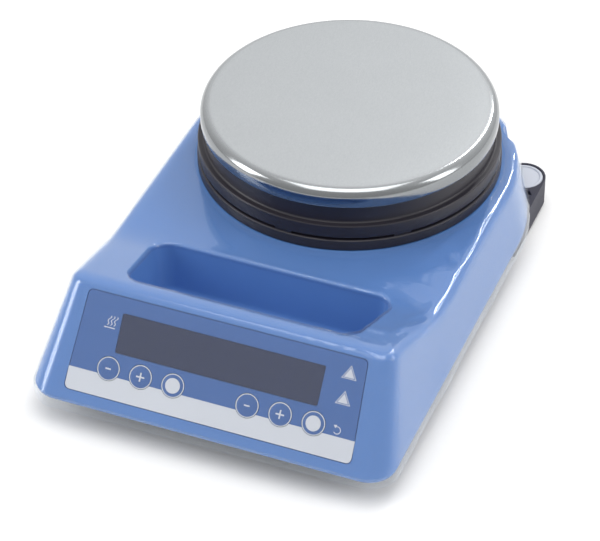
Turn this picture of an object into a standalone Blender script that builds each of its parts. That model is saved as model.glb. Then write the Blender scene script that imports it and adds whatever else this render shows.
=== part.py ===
"""Magnetic stirrer with a heated plate.

A blue moulded housing stands on a base plate with four rubber feet.  An inclined control panel
with a display and six keys closes its front, a grip trough lies behind the panel, and a steel
plate sits on an anthracite collar over the stirring drive.  A clear protective cover hangs over
the housing, and a bracket for a support rod stands out at the right rear.

Sizes below are in millimetres, measured from the plate's axis (x to the right, y to the back) and
from the table (z up).  The builders turn them into metres and move them back by AXIS_Y, so that
the whole object is centred on the origin.
"""

import math

import bmesh
import bpy
from mathutils import Matrix, Vector

MM = 0.001
GAP = 0.3

# Whole object
COLLECTION = "magnetic_stirrer"
AXIS_Y = 46.92

# Heating plate and collar
PLATE_TOP = 74.0
PLATE_RADIUS = 67.5
PLATE_EDGE_RADIUS = 4.7
PLATE_SKIRT_BOTTOM = 65.15
PLATE_WALL = 1.4
FLANGE_RADIUS = 69.0
FLANGE_TOP = 56.3
FLANGE_BOTTOM = 49.7
DRUM_RADIUS = 66.0
COLLAR_BORE_RADIUS = 62.0
RING_RADIUS = 69.4
RING_TOP = 48.6
RING_LUGS = 8
RING_LUG_START = math.radians(-94.0)

# Housing
PLATEAU = 43.0
HOUSING_BOTTOM = 12.8
HALF_WIDTH = 76.5
SIDE_DRAFT = 0.225
CORNER_AT_CHIN = 12.5
CORNER_AT_LIP = 7.0
LIP_Z = 58.0
TOP_EDGE = 5.0
BOTTOM_EDGE = 3.2
CHIN_Z = 16.0
WALL = 2.5
PANEL_WALL = 3.6
RAMP_START_Y = -91.0
RAMP_SLOPE = 0.315
RAMP_BLEND = 9.0
HOUSING_BORE_RADIUS = 59.0

# Inclined panel
PANEL_LEAN = math.radians(36.4)
PANEL_CENTRE_Y = -155.05
PANEL_CENTRE_Z = 37.4
FOIL_WIDTH_TOP = 127.3
FOIL_WIDTH_BOTTOM = 131.4
FOIL_HEIGHT = 44.5
FOIL_THICKNESS = 0.5
WINDOW_WIDTH = 92.0
WINDOW_HEIGHT = 17.1
WINDOW_V = 6.6
KEY_RADIUS = 5.1
KEY_V = -9.3
KEY_PITCH = 14.9
HEAT_KEYS_U = -47.4
STIR_KEYS_U = 16.3
KEY_CROWN = 0.35
KEY_HEAD_DEPTH = 0.9
KEY_STEM_RADIUS = 2.0
KEY_STEM_DEPTH = 5.1
LENS_THICKNESS = 1.9
LENS_SET_BACK = 0.05

# Behind the panel: sizes along the panel, up it and through it, and depths of their middles
TACT_SWITCH = (6.0, 6.0, 3.0)
TACT_SWITCH_DEPTH = 7.5
CONTROL_BOARD = (118.0, 30.0, 1.4)
CONTROL_BOARD_V = -1.5
CONTROL_BOARD_DEPTH = 10.05
DISPLAY_MODULE = (86.0, 13.0, 4.6)
DISPLAY_MODULE_DEPTH = 6.7

# Grip trough
TROUGH_FRONT_Y = -131.5
TROUGH_REAR_Y = -88.5
TROUGH_HALF_FRONT = 53.5
TROUGH_HALF_REAR = 56.0
TROUGH_FLOOR = 19.0
TROUGH_TAPER = 2.6
TROUGH_CORNER = 9.0

# Protective cover
COVER_GAP = 0.8
COVER_THICKNESS = 1.0
COVER_HEM = 8.4
COVER_COLLAR_RADIUS = 72.2

# Rod bracket
BOSS_X = 69.0
BOSS_Y = 48.3
BOSS_RADIUS = 10.2
BRACKET_TOP = 16.0
BRACKET_BOTTOM = 2.0
ROD_BORE_RADIUS = 6.0
ROD_CAP_RADIUS = 8.9
ARM_FRONT_Y = 6.0
ARM_INNER_X = 60.0
TONGUE = (18.0, 26.0, 4.3)
TONGUE_Y = 23.0
CAP_HEAD_DEPTH = 2.1
CAP_PLUG_DEPTH = 5.0

# Base, feet and rear panel
BASE_TOP = 12.5
BASE_BOTTOM = 8.6
BASE_INSET = 7.5
FOOT_RADIUS = 9.0
FOOT_POSITIONS = {
    "foot_front_left": (-58.0, -136.0),
    "foot_front_right": (58.0, -136.0),
    "foot_rear_left": (-46.0, 46.0),
    "foot_rear_right": (38.0, 48.0),
}
SCREW_POSITIONS = {
    "base_screw_front_left": (-66.0, -112.0),
    "base_screw_front_right": (66.0, -112.0),
    "base_screw_rear_left": (-64.0, 24.0),
    "base_screw_rear_right": (52.0, -44.0),
}
BRACKET_SCREW_POSITIONS = {
    "bracket_screw_front": (52.0, 16.0),
    "bracket_screw_rear": (52.0, 30.0),
}
SCREW_RADIUS = 1.6
SCREW_HEAD_RADIUS = 3.2
SCREW_HOLE_RADIUS = 1.9
SCREW_TOP = 22.0
SCREW_POST_RADIUS = 4.6
REAR_PANEL_Y = 60.0
REAR_PANEL_HALF = 43.0
REAR_BAY_HALF = 37.0
REAR_PANEL_TOP = 35.5
INLET_X = -17.0
INLET_BODY = (27.0, 20.0, 19.0)
INLET_FLANGE = (30.0, 22.0)
INLET_RECESS = (24.0, 16.0)
INLET_FLANGE_THICKNESS = 2.4
CONNECTOR_Z = 24.0
ROCKER_X = 12.0
ROCKER_TILT = math.radians(9.0)
SWITCH_BODY = (13.0, 14.0, 19.0)
SOCKET_X = 28.5
SOCKET_RADIUS = 6.2
SOCKET_BORE_RADIUS = 5.0

# Stirring drive
CARRIER_TOP = 48.0
CARRIER_RADIUS = 31.0
MAGNET = (15.0, 26.0, 7.0)
MAGNET_X = 18.0
MOTOR_RADIUS = 27.0
SHAFT_RADIUS = 3.0
BEARING_RADIUS = 8.0
BEARING_HEIGHT = 5.0

# Electronics on the base plate
ELECTRONICS_Y = -63.0
POWER_BOARD = (92.0, 34.0, 1.6)
POWER_BOARD_Z = 17.0
TRANSFORMER = (30.0, 26.0, 20.0)
TRANSFORMER_X = -28.0
CAPACITOR_X = -3.0
HEAT_SINK = (26.0, 24.0, 18.0)
HEAT_SINK_X = 28.0
FIN_PITCH = 5.2

# Finishes: sRGB colour, roughness, metallic
FINISHES = {
    "housing_blue": ("6E90C4", 0.25, 0.0),
    "clear_film": ("DCE6EE", 0.12, 0.0),
    "steel": ("BABCBE", 0.30, 1.0),
    "anthracite": ("3C3A44", 0.45, 0.0),
    "foil_blue": ("4B73AC", 0.40, 0.0),
    "window": ("50546F", 0.15, 0.0),
    "key_blue": ("4A6FA8", 0.35, 0.0),
    "key_white": ("E4E3E2", 0.35, 0.0),
    "bracket_grey": ("48485F", 0.50, 0.0),
    "cap_grey": ("C8CED8", 0.45, 0.0),
    "base_grey": ("55585C", 0.55, 0.0),
    "rubber": ("202022", 0.85, 0.0),
    "zinc": ("A9ACAF", 0.35, 1.0),
    "aluminium": ("B4B6B8", 0.40, 1.0),
    "ceramic_wool": ("D9D4C7", 0.90, 0.0),
    "board_green": ("2C5A3A", 0.50, 0.0),
    "black_plastic": ("1E1E20", 0.40, 0.0),
    "magnet": ("6B6D70", 0.40, 1.0),
    "copper": ("A8623C", 0.40, 1.0),
    "sleeve_red": ("8E2A24", 0.55, 0.0),
}


# --- Scene, collections and finishes ------------------------------------------------------------

for old in list(bpy.data.objects):
    bpy.data.objects.remove(old, do_unlink=True)

parts = bpy.data.collections.new(COLLECTION)
cutters = bpy.data.collections.new("cutters")
bpy.context.scene.collection.children.link(parts)
bpy.context.scene.collection.children.link(cutters)


def srgb_to_linear(value):
    return value / 12.92 if value <= 0.04045 else ((value + 0.055) / 1.055) ** 2.4


def make_finish(node_name, finish):
    """A material of the node's own, from a row of FINISHES."""
    code, roughness, metallic = FINISHES[finish]
    channels = [srgb_to_linear(int(code[i:i + 2], 16) / 255) for i in (0, 2, 4)]
    material = bpy.data.materials.new(node_name)
    material.use_nodes = True
    shader = material.node_tree.nodes["Principled BSDF"]
    shader.inputs["Base Color"].default_value = (*channels, 1.0)
    shader.inputs["Roughness"].default_value = roughness
    shader.inputs["Metallic"].default_value = metallic
    return material


# --- Shapes: every builder takes millimetres about the plate's axis --------------------------------

def place(x, y, z):
    return Vector((x * MM, (y + AXIS_Y) * MM, z * MM))


def mesh_object(name, bm, origin=(0.0, 0.0, 0.0), parent=None):
    """Turn millimetres round `origin` into an object in metres that stands at `origin`."""
    bmesh.ops.scale(bm, vec=(MM, MM, MM), verts=bm.verts)
    mesh = bpy.data.meshes.new(name)
    bm.to_mesh(mesh)
    bm.free()
    obj = bpy.data.objects.new(name, mesh)
    if parent is None:
        obj.location = place(*origin)
    else:
        obj.parent = parent
        obj.location = Vector(origin) * MM
    return obj


def add_part(obj, finish):
    obj.data.materials.append(make_finish(obj.name, finish))
    obj.data.shade_smooth()
    obj.data.set_sharp_from_angle(angle=math.radians(35))
    parts.objects.link(obj)
    return obj


def add_cutter(obj):
    obj.hide_render = True
    obj.display_type = "WIRE"
    cutters.objects.link(obj)
    return obj


def combine(obj, other, operation="DIFFERENCE"):
    modifier = obj.modifiers.new(other.name, "BOOLEAN")
    modifier.operation = operation
    modifier.solver = "EXACT"
    modifier.object = other
    return obj


def box_mesh(size, centre=(0.0, 0.0, 0.0)):
    bm = bmesh.new()
    bmesh.ops.create_cube(bm, size=1.0)
    bmesh.ops.scale(bm, vec=size, verts=bm.verts)
    bmesh.ops.translate(bm, vec=centre, verts=bm.verts)
    return bm


def cylinder_mesh(radius, bottom, top, centre=(0.0, 0.0), segments=24):
    bm = bmesh.new()
    middle = (centre[0], centre[1], (bottom + top) / 2)
    bmesh.ops.create_cone(bm, cap_ends=True, segments=segments, radius1=radius, radius2=radius,
                          depth=top - bottom, matrix=Matrix.Translation(middle))
    return bm


def turned(name, profile, segments, closed=True, origin=(0.0, 0.0, 0.0), parent=None):
    """A (radius, height) profile that runs down its outer side, turned round the object's z axis.

    An open profile starts and ends on the axis; a closed one stands clear of it.
    """
    bm = bmesh.new()
    row = [bm.verts.new((radius, 0.0, height)) for radius, height in profile]
    for first, second in zip(row[:-1], row[1:]):
        bm.edges.new((first, second))
    if closed:
        bm.edges.new((row[-1], row[0]))
    obj = mesh_object(name, bm, origin, parent)
    screw = obj.modifiers.new("turn", "SCREW")
    screw.steps = segments
    screw.render_steps = segments
    screw.use_merge_vertices = True
    screw.merge_threshold = 0.01 * MM
    return obj


def prism_mesh(outline, bottom, top):
    """A flat outline of (x, y) points, extruded upwards."""
    bm = bmesh.new()
    lower = [bm.verts.new((x, y, bottom)) for x, y in outline]
    face = bm.faces.new(lower)
    extruded = bmesh.ops.extrude_face_region(bm, geom=[face])
    moved = [v for v in extruded["geom"] if isinstance(v, bmesh.types.BMVert)]
    bmesh.ops.translate(bm, vec=(0.0, 0.0, top - bottom), verts=moved)
    bmesh.ops.recalc_face_normals(bm, faces=bm.faces)
    return bm


def loft_mesh(rings):
    """Join rings of equal point counts, from the lowest to the highest, and cap both ends."""
    bm = bmesh.new()
    levels = [[bm.verts.new(point) for point in ring] for ring in rings]
    count = len(levels[0])
    for lower, upper in zip(levels[:-1], levels[1:]):
        for k in range(count):
            n = (k + 1) % count
            bm.faces.new((lower[k], lower[n], upper[n], upper[k]))
    bm.faces.new(levels[0])
    bm.faces.new(levels[-1])
    bmesh.ops.recalc_face_normals(bm, faces=bm.faces)
    return bm


def arc_points(centre, radius, start, end, steps):
    points = []
    for k in range(steps + 1):
        angle = start + (end - start) * k / steps
        points.append((centre[0] + radius * math.cos(angle), centre[1] + radius * math.sin(angle)))
    return points


def rounded_rectangle(size, radius, steps=4):
    width, depth = size
    points = []
    corners = ((1, 1, 0.0), (-1, 1, 0.5), (-1, -1, 1.0), (1, -1, 1.5))
    for side_x, side_y, turn in corners:
        middle = (side_x * (width / 2 - radius), side_y * (depth / 2 - radius))
        points += arc_points(middle, radius, turn * math.pi, (turn + 0.5) * math.pi, steps)
    return points


def tube(name, points, radius, finish):
    """A round lead along a smooth path through the given points."""
    path = smooth_path([Vector(p) for p in points], radius * 5)
    curve = bpy.data.curves.new(name, "CURVE")
    curve.dimensions = "3D"
    curve.bevel_depth = radius * MM
    curve.bevel_resolution = 2
    curve.use_fill_caps = True
    spline = curve.splines.new("POLY")
    spline.points.add(len(path) - 1)
    for point, spot in zip(spline.points, path):
        point.co = (*place(*spot), 1.0)
    obj = bpy.data.objects.new(name, curve)
    obj.data.materials.append(make_finish(name, finish))
    parts.objects.link(obj)
    return obj


def smooth_path(points, step):
    """Catmull-Rom curve through the points, sampled about every `step` millimetres."""
    ends = [points[0] * 2 - points[1], *points, points[-1] * 2 - points[-2]]
    path = []
    for p0, p1, p2, p3 in zip(ends[:-3], ends[1:-2], ends[2:-1], ends[3:]):
        count = max(2, round((p2 - p1).length / step))
        for k in range(count):
            t = k / count
            path.append(0.5 * (2 * p1 + (p2 - p0) * t + (2 * p0 - 5 * p1 + 4 * p2 - p3) * t * t
                               + (3 * p1 - p0 - 3 * p2 + p3) * t ** 3))
    path.append(points[-1])
    return path


# --- Housing form, shared by the shell, its cavity, the cover and the base plate ------------------

def ramp_height(y):
    """Height of the housing's top: flat round the collar, then rising in a ramp to the front."""
    rise = RAMP_START_Y - y
    if rise <= -RAMP_BLEND:
        return PLATEAU
    if rise >= RAMP_BLEND:
        return PLATEAU + RAMP_SLOPE * rise
    return PLATEAU + RAMP_SLOPE * (rise + RAMP_BLEND) ** 2 / (4 * RAMP_BLEND)


def panel_y(z):
    return PANEL_CENTRE_Y + (z - PANEL_CENTRE_Z) * math.tan(PANEL_LEAN)


# Places of the side wall's points, as shares of the way from the front corner to the plate's axis
SIDE_STEPS = (0.06, 0.12, 0.18, 0.24, 0.30, 0.42, 0.65)
REAR_ARC_END = math.radians(84)


def plan_points(z, inset, panel_inset):
    """Right half of the housing's outline at height z, from the front to the rear.

    The walls lean in above the chin and stand upright below it.
    """
    z = max(z, CHIN_Z)
    half = HALF_WIDTH + (PLATEAU - z) * SIDE_DRAFT - inset
    front = panel_y(z) + panel_inset / math.cos(PANEL_LEAN)
    share = (z - CHIN_Z) / (LIP_Z - CHIN_Z)
    corner = max(CORNER_AT_CHIN + (CORNER_AT_LIP - CORNER_AT_CHIN) * share - inset, 2.0)
    points = arc_points((half - corner, front + corner), corner, -math.pi / 2, 0.0, 5)
    start_y = front + corner
    for share in SIDE_STEPS:
        points.append((half, start_y * (1 - share)))
    points += arc_points((0.0, 0.0), half, 0.0, REAR_ARC_END, 10)
    return points


def form_rings(inset, panel_inset, top_drop, bottom, top_edge, bottom_edge):
    """Half-outline rings of the housing form, from its bottom to its top surface.

    Each ring is a list of (x, y, z) for the right half.  The walls lean, the lower and upper edges
    are rounded by quadratic curves through the corner of the two surfaces.
    """
    def wall_point(index, z):
        x, y = plan_points(z, inset, panel_inset)[index]
        return Vector((x, y, z))

    def inward(index, z, distance):
        x, y = plan_points(z, inset + distance, panel_inset + distance)[index]
        return Vector((x, y, z))

    count = len(plan_points(bottom, inset, panel_inset))
    rings = []
    if bottom_edge > 0:
        for share in (0.0, 0.5, 1.0):
            ring = []
            for index in range(count):
                low = inward(index, bottom, bottom_edge * 0.6)
                corner = wall_point(index, bottom)
                high = wall_point(index, bottom + bottom_edge)
                ring.append(low * (1 - share) ** 2 + corner * 2 * share * (1 - share)
                            + high * share ** 2)
            rings.append(ring)
    else:
        for z in (bottom, CHIN_Z):
            rings.append([wall_point(index, z) for index in range(count)])
    top_corners = []
    for index in range(count):
        z = PLATEAU
        for _ in range(30):
            z = ramp_height(wall_point(index, z).y) - top_drop
        top_corners.append(wall_point(index, z))
    for share in (0.0, 0.25, 0.5, 0.75, 1.0):
        ring = []
        for index in range(count):
            corner = top_corners[index]
            low = wall_point(index, corner.z - top_edge * 0.55)
            high = inward(index, corner.z, top_edge)
            high.z = ramp_height(high.y) - top_drop
            ring.append(low * (1 - share) ** 2 + corner * 2 * share * (1 - share) + high * share ** 2)
        rings.append(ring)
    return rings


def form_mesh(rings):
    """Close the half-rings to a whole solid: walls all round, and strips across top and bottom."""
    bm = bmesh.new()
    right = [[bm.verts.new(point) for point in ring] for ring in rings]
    left = [[bm.verts.new((-point[0], point[1], point[2])) for point in ring] for ring in rings]
    count = len(right[0])
    for level in range(len(rings) - 1):
        low_r, high_r = right[level], right[level + 1]
        low_l, high_l = left[level], left[level + 1]
        for k in range(count - 1):
            bm.faces.new((low_r[k], low_r[k + 1], high_r[k + 1], high_r[k]))
            bm.faces.new((low_l[k + 1], low_l[k], high_l[k], high_l[k + 1]))
        bm.faces.new((low_l[0], low_r[0], high_r[0], high_l[0]))
        bm.faces.new((low_r[-1], low_l[-1], high_l[-1], high_r[-1]))
    for ring_r, ring_l in ((right[0], left[0]), (right[-1], left[-1])):
        for k in range(count - 1):
            bm.faces.new((ring_r[k], ring_r[k + 1], ring_l[k + 1], ring_l[k]))
    bmesh.ops.recalc_face_normals(bm, faces=bm.faces)
    bmesh.ops.triangulate(bm, faces=bm.faces)
    return bm


def trough_mesh(grow, floor, ceiling):
    """The trough's form: a rounded trapezoid that narrows a little towards its floor."""
    rings = []
    for z, taper in ((floor, TROUGH_TAPER), (PLATEAU, 0.0), (ceiling, -TROUGH_TAPER * 0.5)):
        front = TROUGH_FRONT_Y + taper - grow
        rear = TROUGH_REAR_Y - taper + grow
        front_half = TROUGH_HALF_FRONT - taper + grow
        rear_half = TROUGH_HALF_REAR - taper + grow
        corner = TROUGH_CORNER + grow
        outline = arc_points((rear_half - corner, rear - corner), corner, 0, math.pi / 2, 5)
        outline += arc_points((corner - rear_half, rear - corner), corner, math.pi / 2, math.pi, 5)
        outline += arc_points((corner - front_half, front + corner), corner, math.pi, 1.5 * math.pi, 5)
        outline += arc_points((front_half - corner, front + corner), corner, 1.5 * math.pi,
                              2 * math.pi, 5)
        rings.append([(x, y, z) for x, y in outline])
    return loft_mesh(rings)


# --- Inclined panel frame --------------------------------------------------------------------------

panel_frame = bpy.data.objects.new("panel_frame", None)
panel_frame.location = place(0.0, PANEL_CENTRE_Y, PANEL_CENTRE_Z)
panel_frame.rotation_euler = (math.pi / 2 - PANEL_LEAN, 0.0, 0.0)
parts.objects.link(panel_frame)

KEYS = {
    "key_heat_minus": HEAT_KEYS_U,
    "key_heat_plus": HEAT_KEYS_U + KEY_PITCH,
    "key_heat_on": HEAT_KEYS_U + 2 * KEY_PITCH,
    "key_stir_minus": STIR_KEYS_U,
    "key_stir_plus": STIR_KEYS_U + KEY_PITCH,
    "key_stir_on": STIR_KEYS_U + 2 * KEY_PITCH,
}


def foil_outline(grow):
    """The foil's trapezoid with rounded corners, in the panel's own plane."""
    top = FOIL_WIDTH_TOP / 2 + grow
    bottom = FOIL_WIDTH_BOTTOM / 2 + grow
    half_height = FOIL_HEIGHT / 2 + grow
    radius = 2.4
    outline = arc_points((top - radius, half_height - radius), radius, 0, math.pi / 2, 3)
    outline += arc_points((radius - top, half_height - radius), radius, math.pi / 2, math.pi, 3)
    outline += arc_points((radius - bottom, radius - half_height), radius, math.pi, 1.5 * math.pi, 3)
    outline += arc_points((bottom - radius, radius - half_height), radius, 1.5 * math.pi,
                          2 * math.pi, 3)
    return outline


def build_panel():
    foil = mesh_object("panel_foil", prism_mesh(foil_outline(-0.35), -FOIL_THICKNESS, 0.0),
                       parent=panel_frame)
    add_part(foil, "foil_blue")
    window_cut = box_mesh((WINDOW_WIDTH + 2 * GAP, WINDOW_HEIGHT + 2 * GAP, 4.0), (0.0, WINDOW_V, 0.0))
    combine(foil, add_cutter(mesh_object("cut_foil_window", window_cut, parent=panel_frame)))
    for name, u in KEYS.items():
        hole = cylinder_mesh(KEY_RADIUS + 0.25, -2.0, 2.0, segments=20)
        cutter = mesh_object("cut_foil_" + name, hole, origin=(u, KEY_V, 0.0), parent=panel_frame)
        combine(foil, add_cutter(cutter))

    window = box_mesh((WINDOW_WIDTH, WINDOW_HEIGHT, LENS_THICKNESS),
                      (0.0, WINDOW_V, -LENS_THICKNESS / 2 - LENS_SET_BACK))
    add_part(mesh_object("display_window", window, parent=panel_frame), "window")

    for name, u in KEYS.items():
        finish = "key_white" if name.endswith("on") else "key_blue"
        profile = [(0.0, KEY_CROWN), (KEY_RADIUS - 0.4, KEY_CROWN), (KEY_RADIUS, 0.0),
                   (KEY_RADIUS, -KEY_HEAD_DEPTH), (KEY_STEM_RADIUS, -KEY_HEAD_DEPTH),
                   (KEY_STEM_RADIUS, -KEY_STEM_DEPTH), (0.0, -KEY_STEM_DEPTH)]
        key = turned(name, profile, 20, closed=False, origin=(u, KEY_V, 0.0), parent=panel_frame)
        add_part(key, finish)
        switch = mesh_object(name.replace("key", "switch"), box_mesh(TACT_SWITCH),
                             origin=(u, KEY_V, -TACT_SWITCH_DEPTH), parent=panel_frame)
        add_part(switch, "black_plastic")

    board = box_mesh(CONTROL_BOARD, (0.0, CONTROL_BOARD_V, -CONTROL_BOARD_DEPTH))
    add_part(mesh_object("control_board", board, parent=panel_frame), "board_green")
    module = box_mesh(DISPLAY_MODULE, (0.0, WINDOW_V, -DISPLAY_MODULE_DEPTH))
    add_part(mesh_object("display_module", module, parent=panel_frame), "black_plastic")


def cut_panel_seats(shell):
    """Seats for foil, lens and keys in the housing's inclined front."""
    foil_seat = prism_mesh(foil_outline(0.0), -FOIL_THICKNESS - GAP, 3.0)
    combine(shell, add_cutter(mesh_object("cut_foil_seat", foil_seat, parent=panel_frame)))
    lens_seat = box_mesh((WINDOW_WIDTH + 2 * GAP, WINDOW_HEIGHT + 2 * GAP, 5.0), (0.0, WINDOW_V, 0.25))
    combine(shell, add_cutter(mesh_object("cut_lens_seat", lens_seat, parent=panel_frame)))
    lens_hole = box_mesh((DISPLAY_MODULE[0] + 1.0, DISPLAY_MODULE[1] + 0.6, 12.0), (0.0, WINDOW_V, -3.0))
    combine(shell, add_cutter(mesh_object("cut_lens_hole", lens_hole, parent=panel_frame)))
    head_floor = -KEY_HEAD_DEPTH - 1.0
    stem_hole = KEY_STEM_RADIUS + 0.5
    for name, u in KEYS.items():
        profile = [(0.0, 2.0), (KEY_RADIUS + GAP, 2.0), (KEY_RADIUS + GAP, head_floor),
                   (stem_hole, head_floor), (stem_hole, -7.0), (0.0, -7.0)]
        seat = turned("cut_seat_" + name, profile, 20, closed=False, origin=(u, KEY_V, 0.0),
                      parent=panel_frame)
        combine(shell, add_cutter(seat))


# --- Housing, cover and base ------------------------------------------------------------------------

def bracket_outline(grow, front_y):
    """Plan of the bracket: an arm along the side wall that ends in a round boss."""
    radius = BOSS_RADIUS + grow
    outline = arc_points((BOSS_X, BOSS_Y), radius, 0.0, math.pi, 16)
    outline += [(BOSS_X - radius, ARM_INNER_X - 18.0), (ARM_INNER_X - grow, 34.0),
                (ARM_INNER_X - grow, front_y - grow), (BOSS_X + radius, front_y - grow)]
    return outline


def build_housing():
    outer = form_mesh(form_rings(0.0, 0.0, 0.0, HOUSING_BOTTOM, TOP_EDGE, BOTTOM_EDGE))
    shell = add_part(mesh_object("housing_shell", outer), "housing_blue")

    cavity = form_mesh(form_rings(WALL, PANEL_WALL, WALL, HOUSING_BOTTOM - 8.0, TOP_EDGE - 2.0, 0.0))
    cavity = add_cutter(mesh_object("cut_cavity", cavity))
    trough_wall = trough_mesh(WALL, TROUGH_FLOOR - WALL, 80.0)
    combine(cavity, add_cutter(mesh_object("cut_trough_wall", trough_wall)))
    for name, (x, y) in SCREW_POSITIONS.items():
        post = cylinder_mesh(SCREW_POST_RADIUS, HOUSING_BOTTOM + 0.1, 80.0, (x, y), 16)
        combine(cavity, add_cutter(mesh_object("post_" + name, post)))
    scallop_wall = cylinder_mesh(BOSS_RADIUS + 0.4 + WALL, BRACKET_TOP - 2.0, 80.0, (BOSS_X, BOSS_Y), 32)
    combine(cavity, add_cutter(mesh_object("cut_scallop_wall", scallop_wall)))
    combine(shell, cavity)

    combine(shell, add_cutter(mesh_object("cut_trough", trough_mesh(0.0, TROUGH_FLOOR, 80.0))))
    bore = cylinder_mesh(HOUSING_BORE_RADIUS, 36.0, 60.0, segments=64)
    combine(shell, add_cutter(mesh_object("cut_collar_bore", bore)))
    cut_panel_seats(shell)

    bay = box_mesh((2 * REAR_BAY_HALF, 40.0, 30.5), (0.0, REAR_PANEL_Y + 22.4, 20.75))
    combine(shell, add_cutter(mesh_object("cut_rear_bay", bay)))
    notch = prism_mesh(bracket_outline(1.0, 8.0), -5.0, BRACKET_TOP + 1.0)
    combine(shell, add_cutter(mesh_object("cut_bracket_notch", notch)))
    scallop = cylinder_mesh(BOSS_RADIUS + 0.4, 10.0, 60.0, (BOSS_X, BOSS_Y), 32)
    combine(shell, add_cutter(mesh_object("cut_rod_scallop", scallop)))
    for name, (x, y) in SCREW_POSITIONS.items():
        pilot = cylinder_mesh(SCREW_HOLE_RADIUS, 0.0, SCREW_TOP + 4.0, (x, y), 12)
        combine(shell, add_cutter(mesh_object("pilot_" + name, pilot)))
    return shell


def build_cover():
    """Clear cover: a thin skin that follows the housing and hangs below its rim."""
    outside = -(COVER_GAP + COVER_THICKNESS)
    outer = form_rings(outside, outside, outside, COVER_HEM, TOP_EDGE + 0.8, 0.0)
    cover = add_part(mesh_object("protective_cover", form_mesh(outer)), "clear_film")
    inner = form_rings(-COVER_GAP, -COVER_GAP, -COVER_GAP, COVER_HEM - 5.0, TOP_EDGE + 0.4, 0.0)
    combine(cover, add_cutter(mesh_object("cut_cover_inside", form_mesh(inner))))
    collar_hole = cylinder_mesh(COVER_COLLAR_RADIUS, 36.0, 60.0, segments=64)
    combine(cover, add_cutter(mesh_object("cut_cover_collar", collar_hole)))
    trough_hole = trough_mesh(1.2, PLATEAU - 4.0, 80.0)
    combine(cover, add_cutter(mesh_object("cut_cover_trough", trough_hole)))
    notch = prism_mesh(bracket_outline(1.6, 9.0), -5.0, BRACKET_TOP + 2.0)
    combine(cover, add_cutter(mesh_object("cut_cover_bracket", notch)))
    scallop = cylinder_mesh(BOSS_RADIUS + 1.6, 10.0, 60.0, (BOSS_X, BOSS_Y), 32)
    combine(cover, add_cutter(mesh_object("cut_cover_scallop", scallop)))
    bay = box_mesh((2 * REAR_BAY_HALF + 2.0, 40.0, 40.0), (0.0, REAR_PANEL_Y + 22.4, 17.0))
    combine(cover, add_cutter(mesh_object("cut_cover_bay", bay)))
    return cover


def build_base():
    half = plan_points(BASE_TOP, BASE_INSET, BASE_INSET)
    outline = half + [(-x, y) for x, y in reversed(half)]
    base = add_part(mesh_object("base_plate", prism_mesh(outline, BASE_BOTTOM, BASE_TOP)), "base_grey")
    notch = prism_mesh(bracket_outline(0.6, ARM_FRONT_Y), 0.0, 20.0)
    combine(base, add_cutter(mesh_object("cut_base_bracket", notch)))
    rear = box_mesh((200.0, 40.0, 20.0), (0.0, REAR_PANEL_Y + 19.7, 10.0))
    combine(base, add_cutter(mesh_object("cut_base_rear", rear)))
    for name, (x, y) in {**SCREW_POSITIONS, **BRACKET_SCREW_POSITIONS}.items():
        hole = cylinder_mesh(SCREW_HOLE_RADIUS, 0.0, 20.0, (x, y), 12)
        combine(base, add_cutter(mesh_object("cut_base_" + name, hole)))
    for k in range(5):
        slot = box_mesh((46.0, 3.0, 20.0), (0.0, -72.0 + 8.0 * k, 10.0))
        combine(base, add_cutter(mesh_object(f"cut_vent_{k}", slot)))

    for name, (x, y) in SCREW_POSITIONS.items():
        add_screw(name, (x, y), BASE_BOTTOM - GAP, SCREW_TOP)
    for name, (x, y) in FOOT_POSITIONS.items():
        profile = [(0.0, BASE_BOTTOM - GAP), (FOOT_RADIUS, BASE_BOTTOM - GAP), (FOOT_RADIUS, 4.0),
                   (FOOT_RADIUS - 1.2, 0.6), (FOOT_RADIUS - 1.8, 0.0), (0.0, 0.0)]
        add_part(turned(name, profile, 20, closed=False, origin=(x, y, 0.0)), "rubber")


def add_screw(name, position, seat, tip):
    """A screw driven from below, with its head under the seat and its tip up at `tip`."""
    profile = [(0.0, tip), (SCREW_RADIUS, tip), (SCREW_RADIUS, seat), (SCREW_HEAD_RADIUS, seat),
               (SCREW_HEAD_RADIUS - 0.2, seat - 1.7), (0.0, seat - 1.7)]
    add_part(turned(name, profile, 12, closed=False, origin=(*position, 0.0)), "zinc")


# --- Heating plate and collar -----------------------------------------------------------------------

def build_plate():
    edge = []
    for k in range(6):
        angle = math.pi / 2 * (1 - k / 5)
        edge.append((PLATE_RADIUS - PLATE_EDGE_RADIUS * (1 - math.cos(angle)),
                     PLATE_TOP - PLATE_EDGE_RADIUS * (1 - math.sin(angle))))
    inside = PLATE_RADIUS - PLATE_WALL
    underside = PLATE_TOP - 1.8
    profile = [(0.0, PLATE_TOP), *edge, (PLATE_RADIUS, PLATE_SKIRT_BOTTOM),
               (inside, PLATE_SKIRT_BOTTOM), (inside, underside - 1.6),
               (inside - 1.6, underside), (0.0, underside)]
    add_part(turned("heating_plate", profile, 60, closed=False), "steel")

    body_top = underside - 0.4
    body_bottom = body_top - 3.4
    body = [(0.0, body_top), (63.0, body_top), (63.0, body_bottom), (0.0, body_bottom)]
    add_part(turned("heater_body", body, 48, closed=False), "aluminium")
    element_radius = 2.6
    element_z = body_bottom - GAP - element_radius - 0.1
    section = []
    for k in range(8):
        angle = 2 * math.pi * k / 8
        section.append((44.0 + element_radius * math.cos(angle),
                        element_z - element_radius * math.sin(angle)))
    add_part(turned("heating_element", section, 40), "zinc")
    disc = [(52.0, 61.6), (52.0, 57.4), (5.0, 57.4), (5.0, 61.6)]
    add_part(turned("insulation_disc", disc, 48), "ceramic_wool")
    sensor = cylinder_mesh(2.6, 58.5, body_bottom - GAP, segments=12)
    add_part(mesh_object("temperature_sensor", sensor), "copper")


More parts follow.
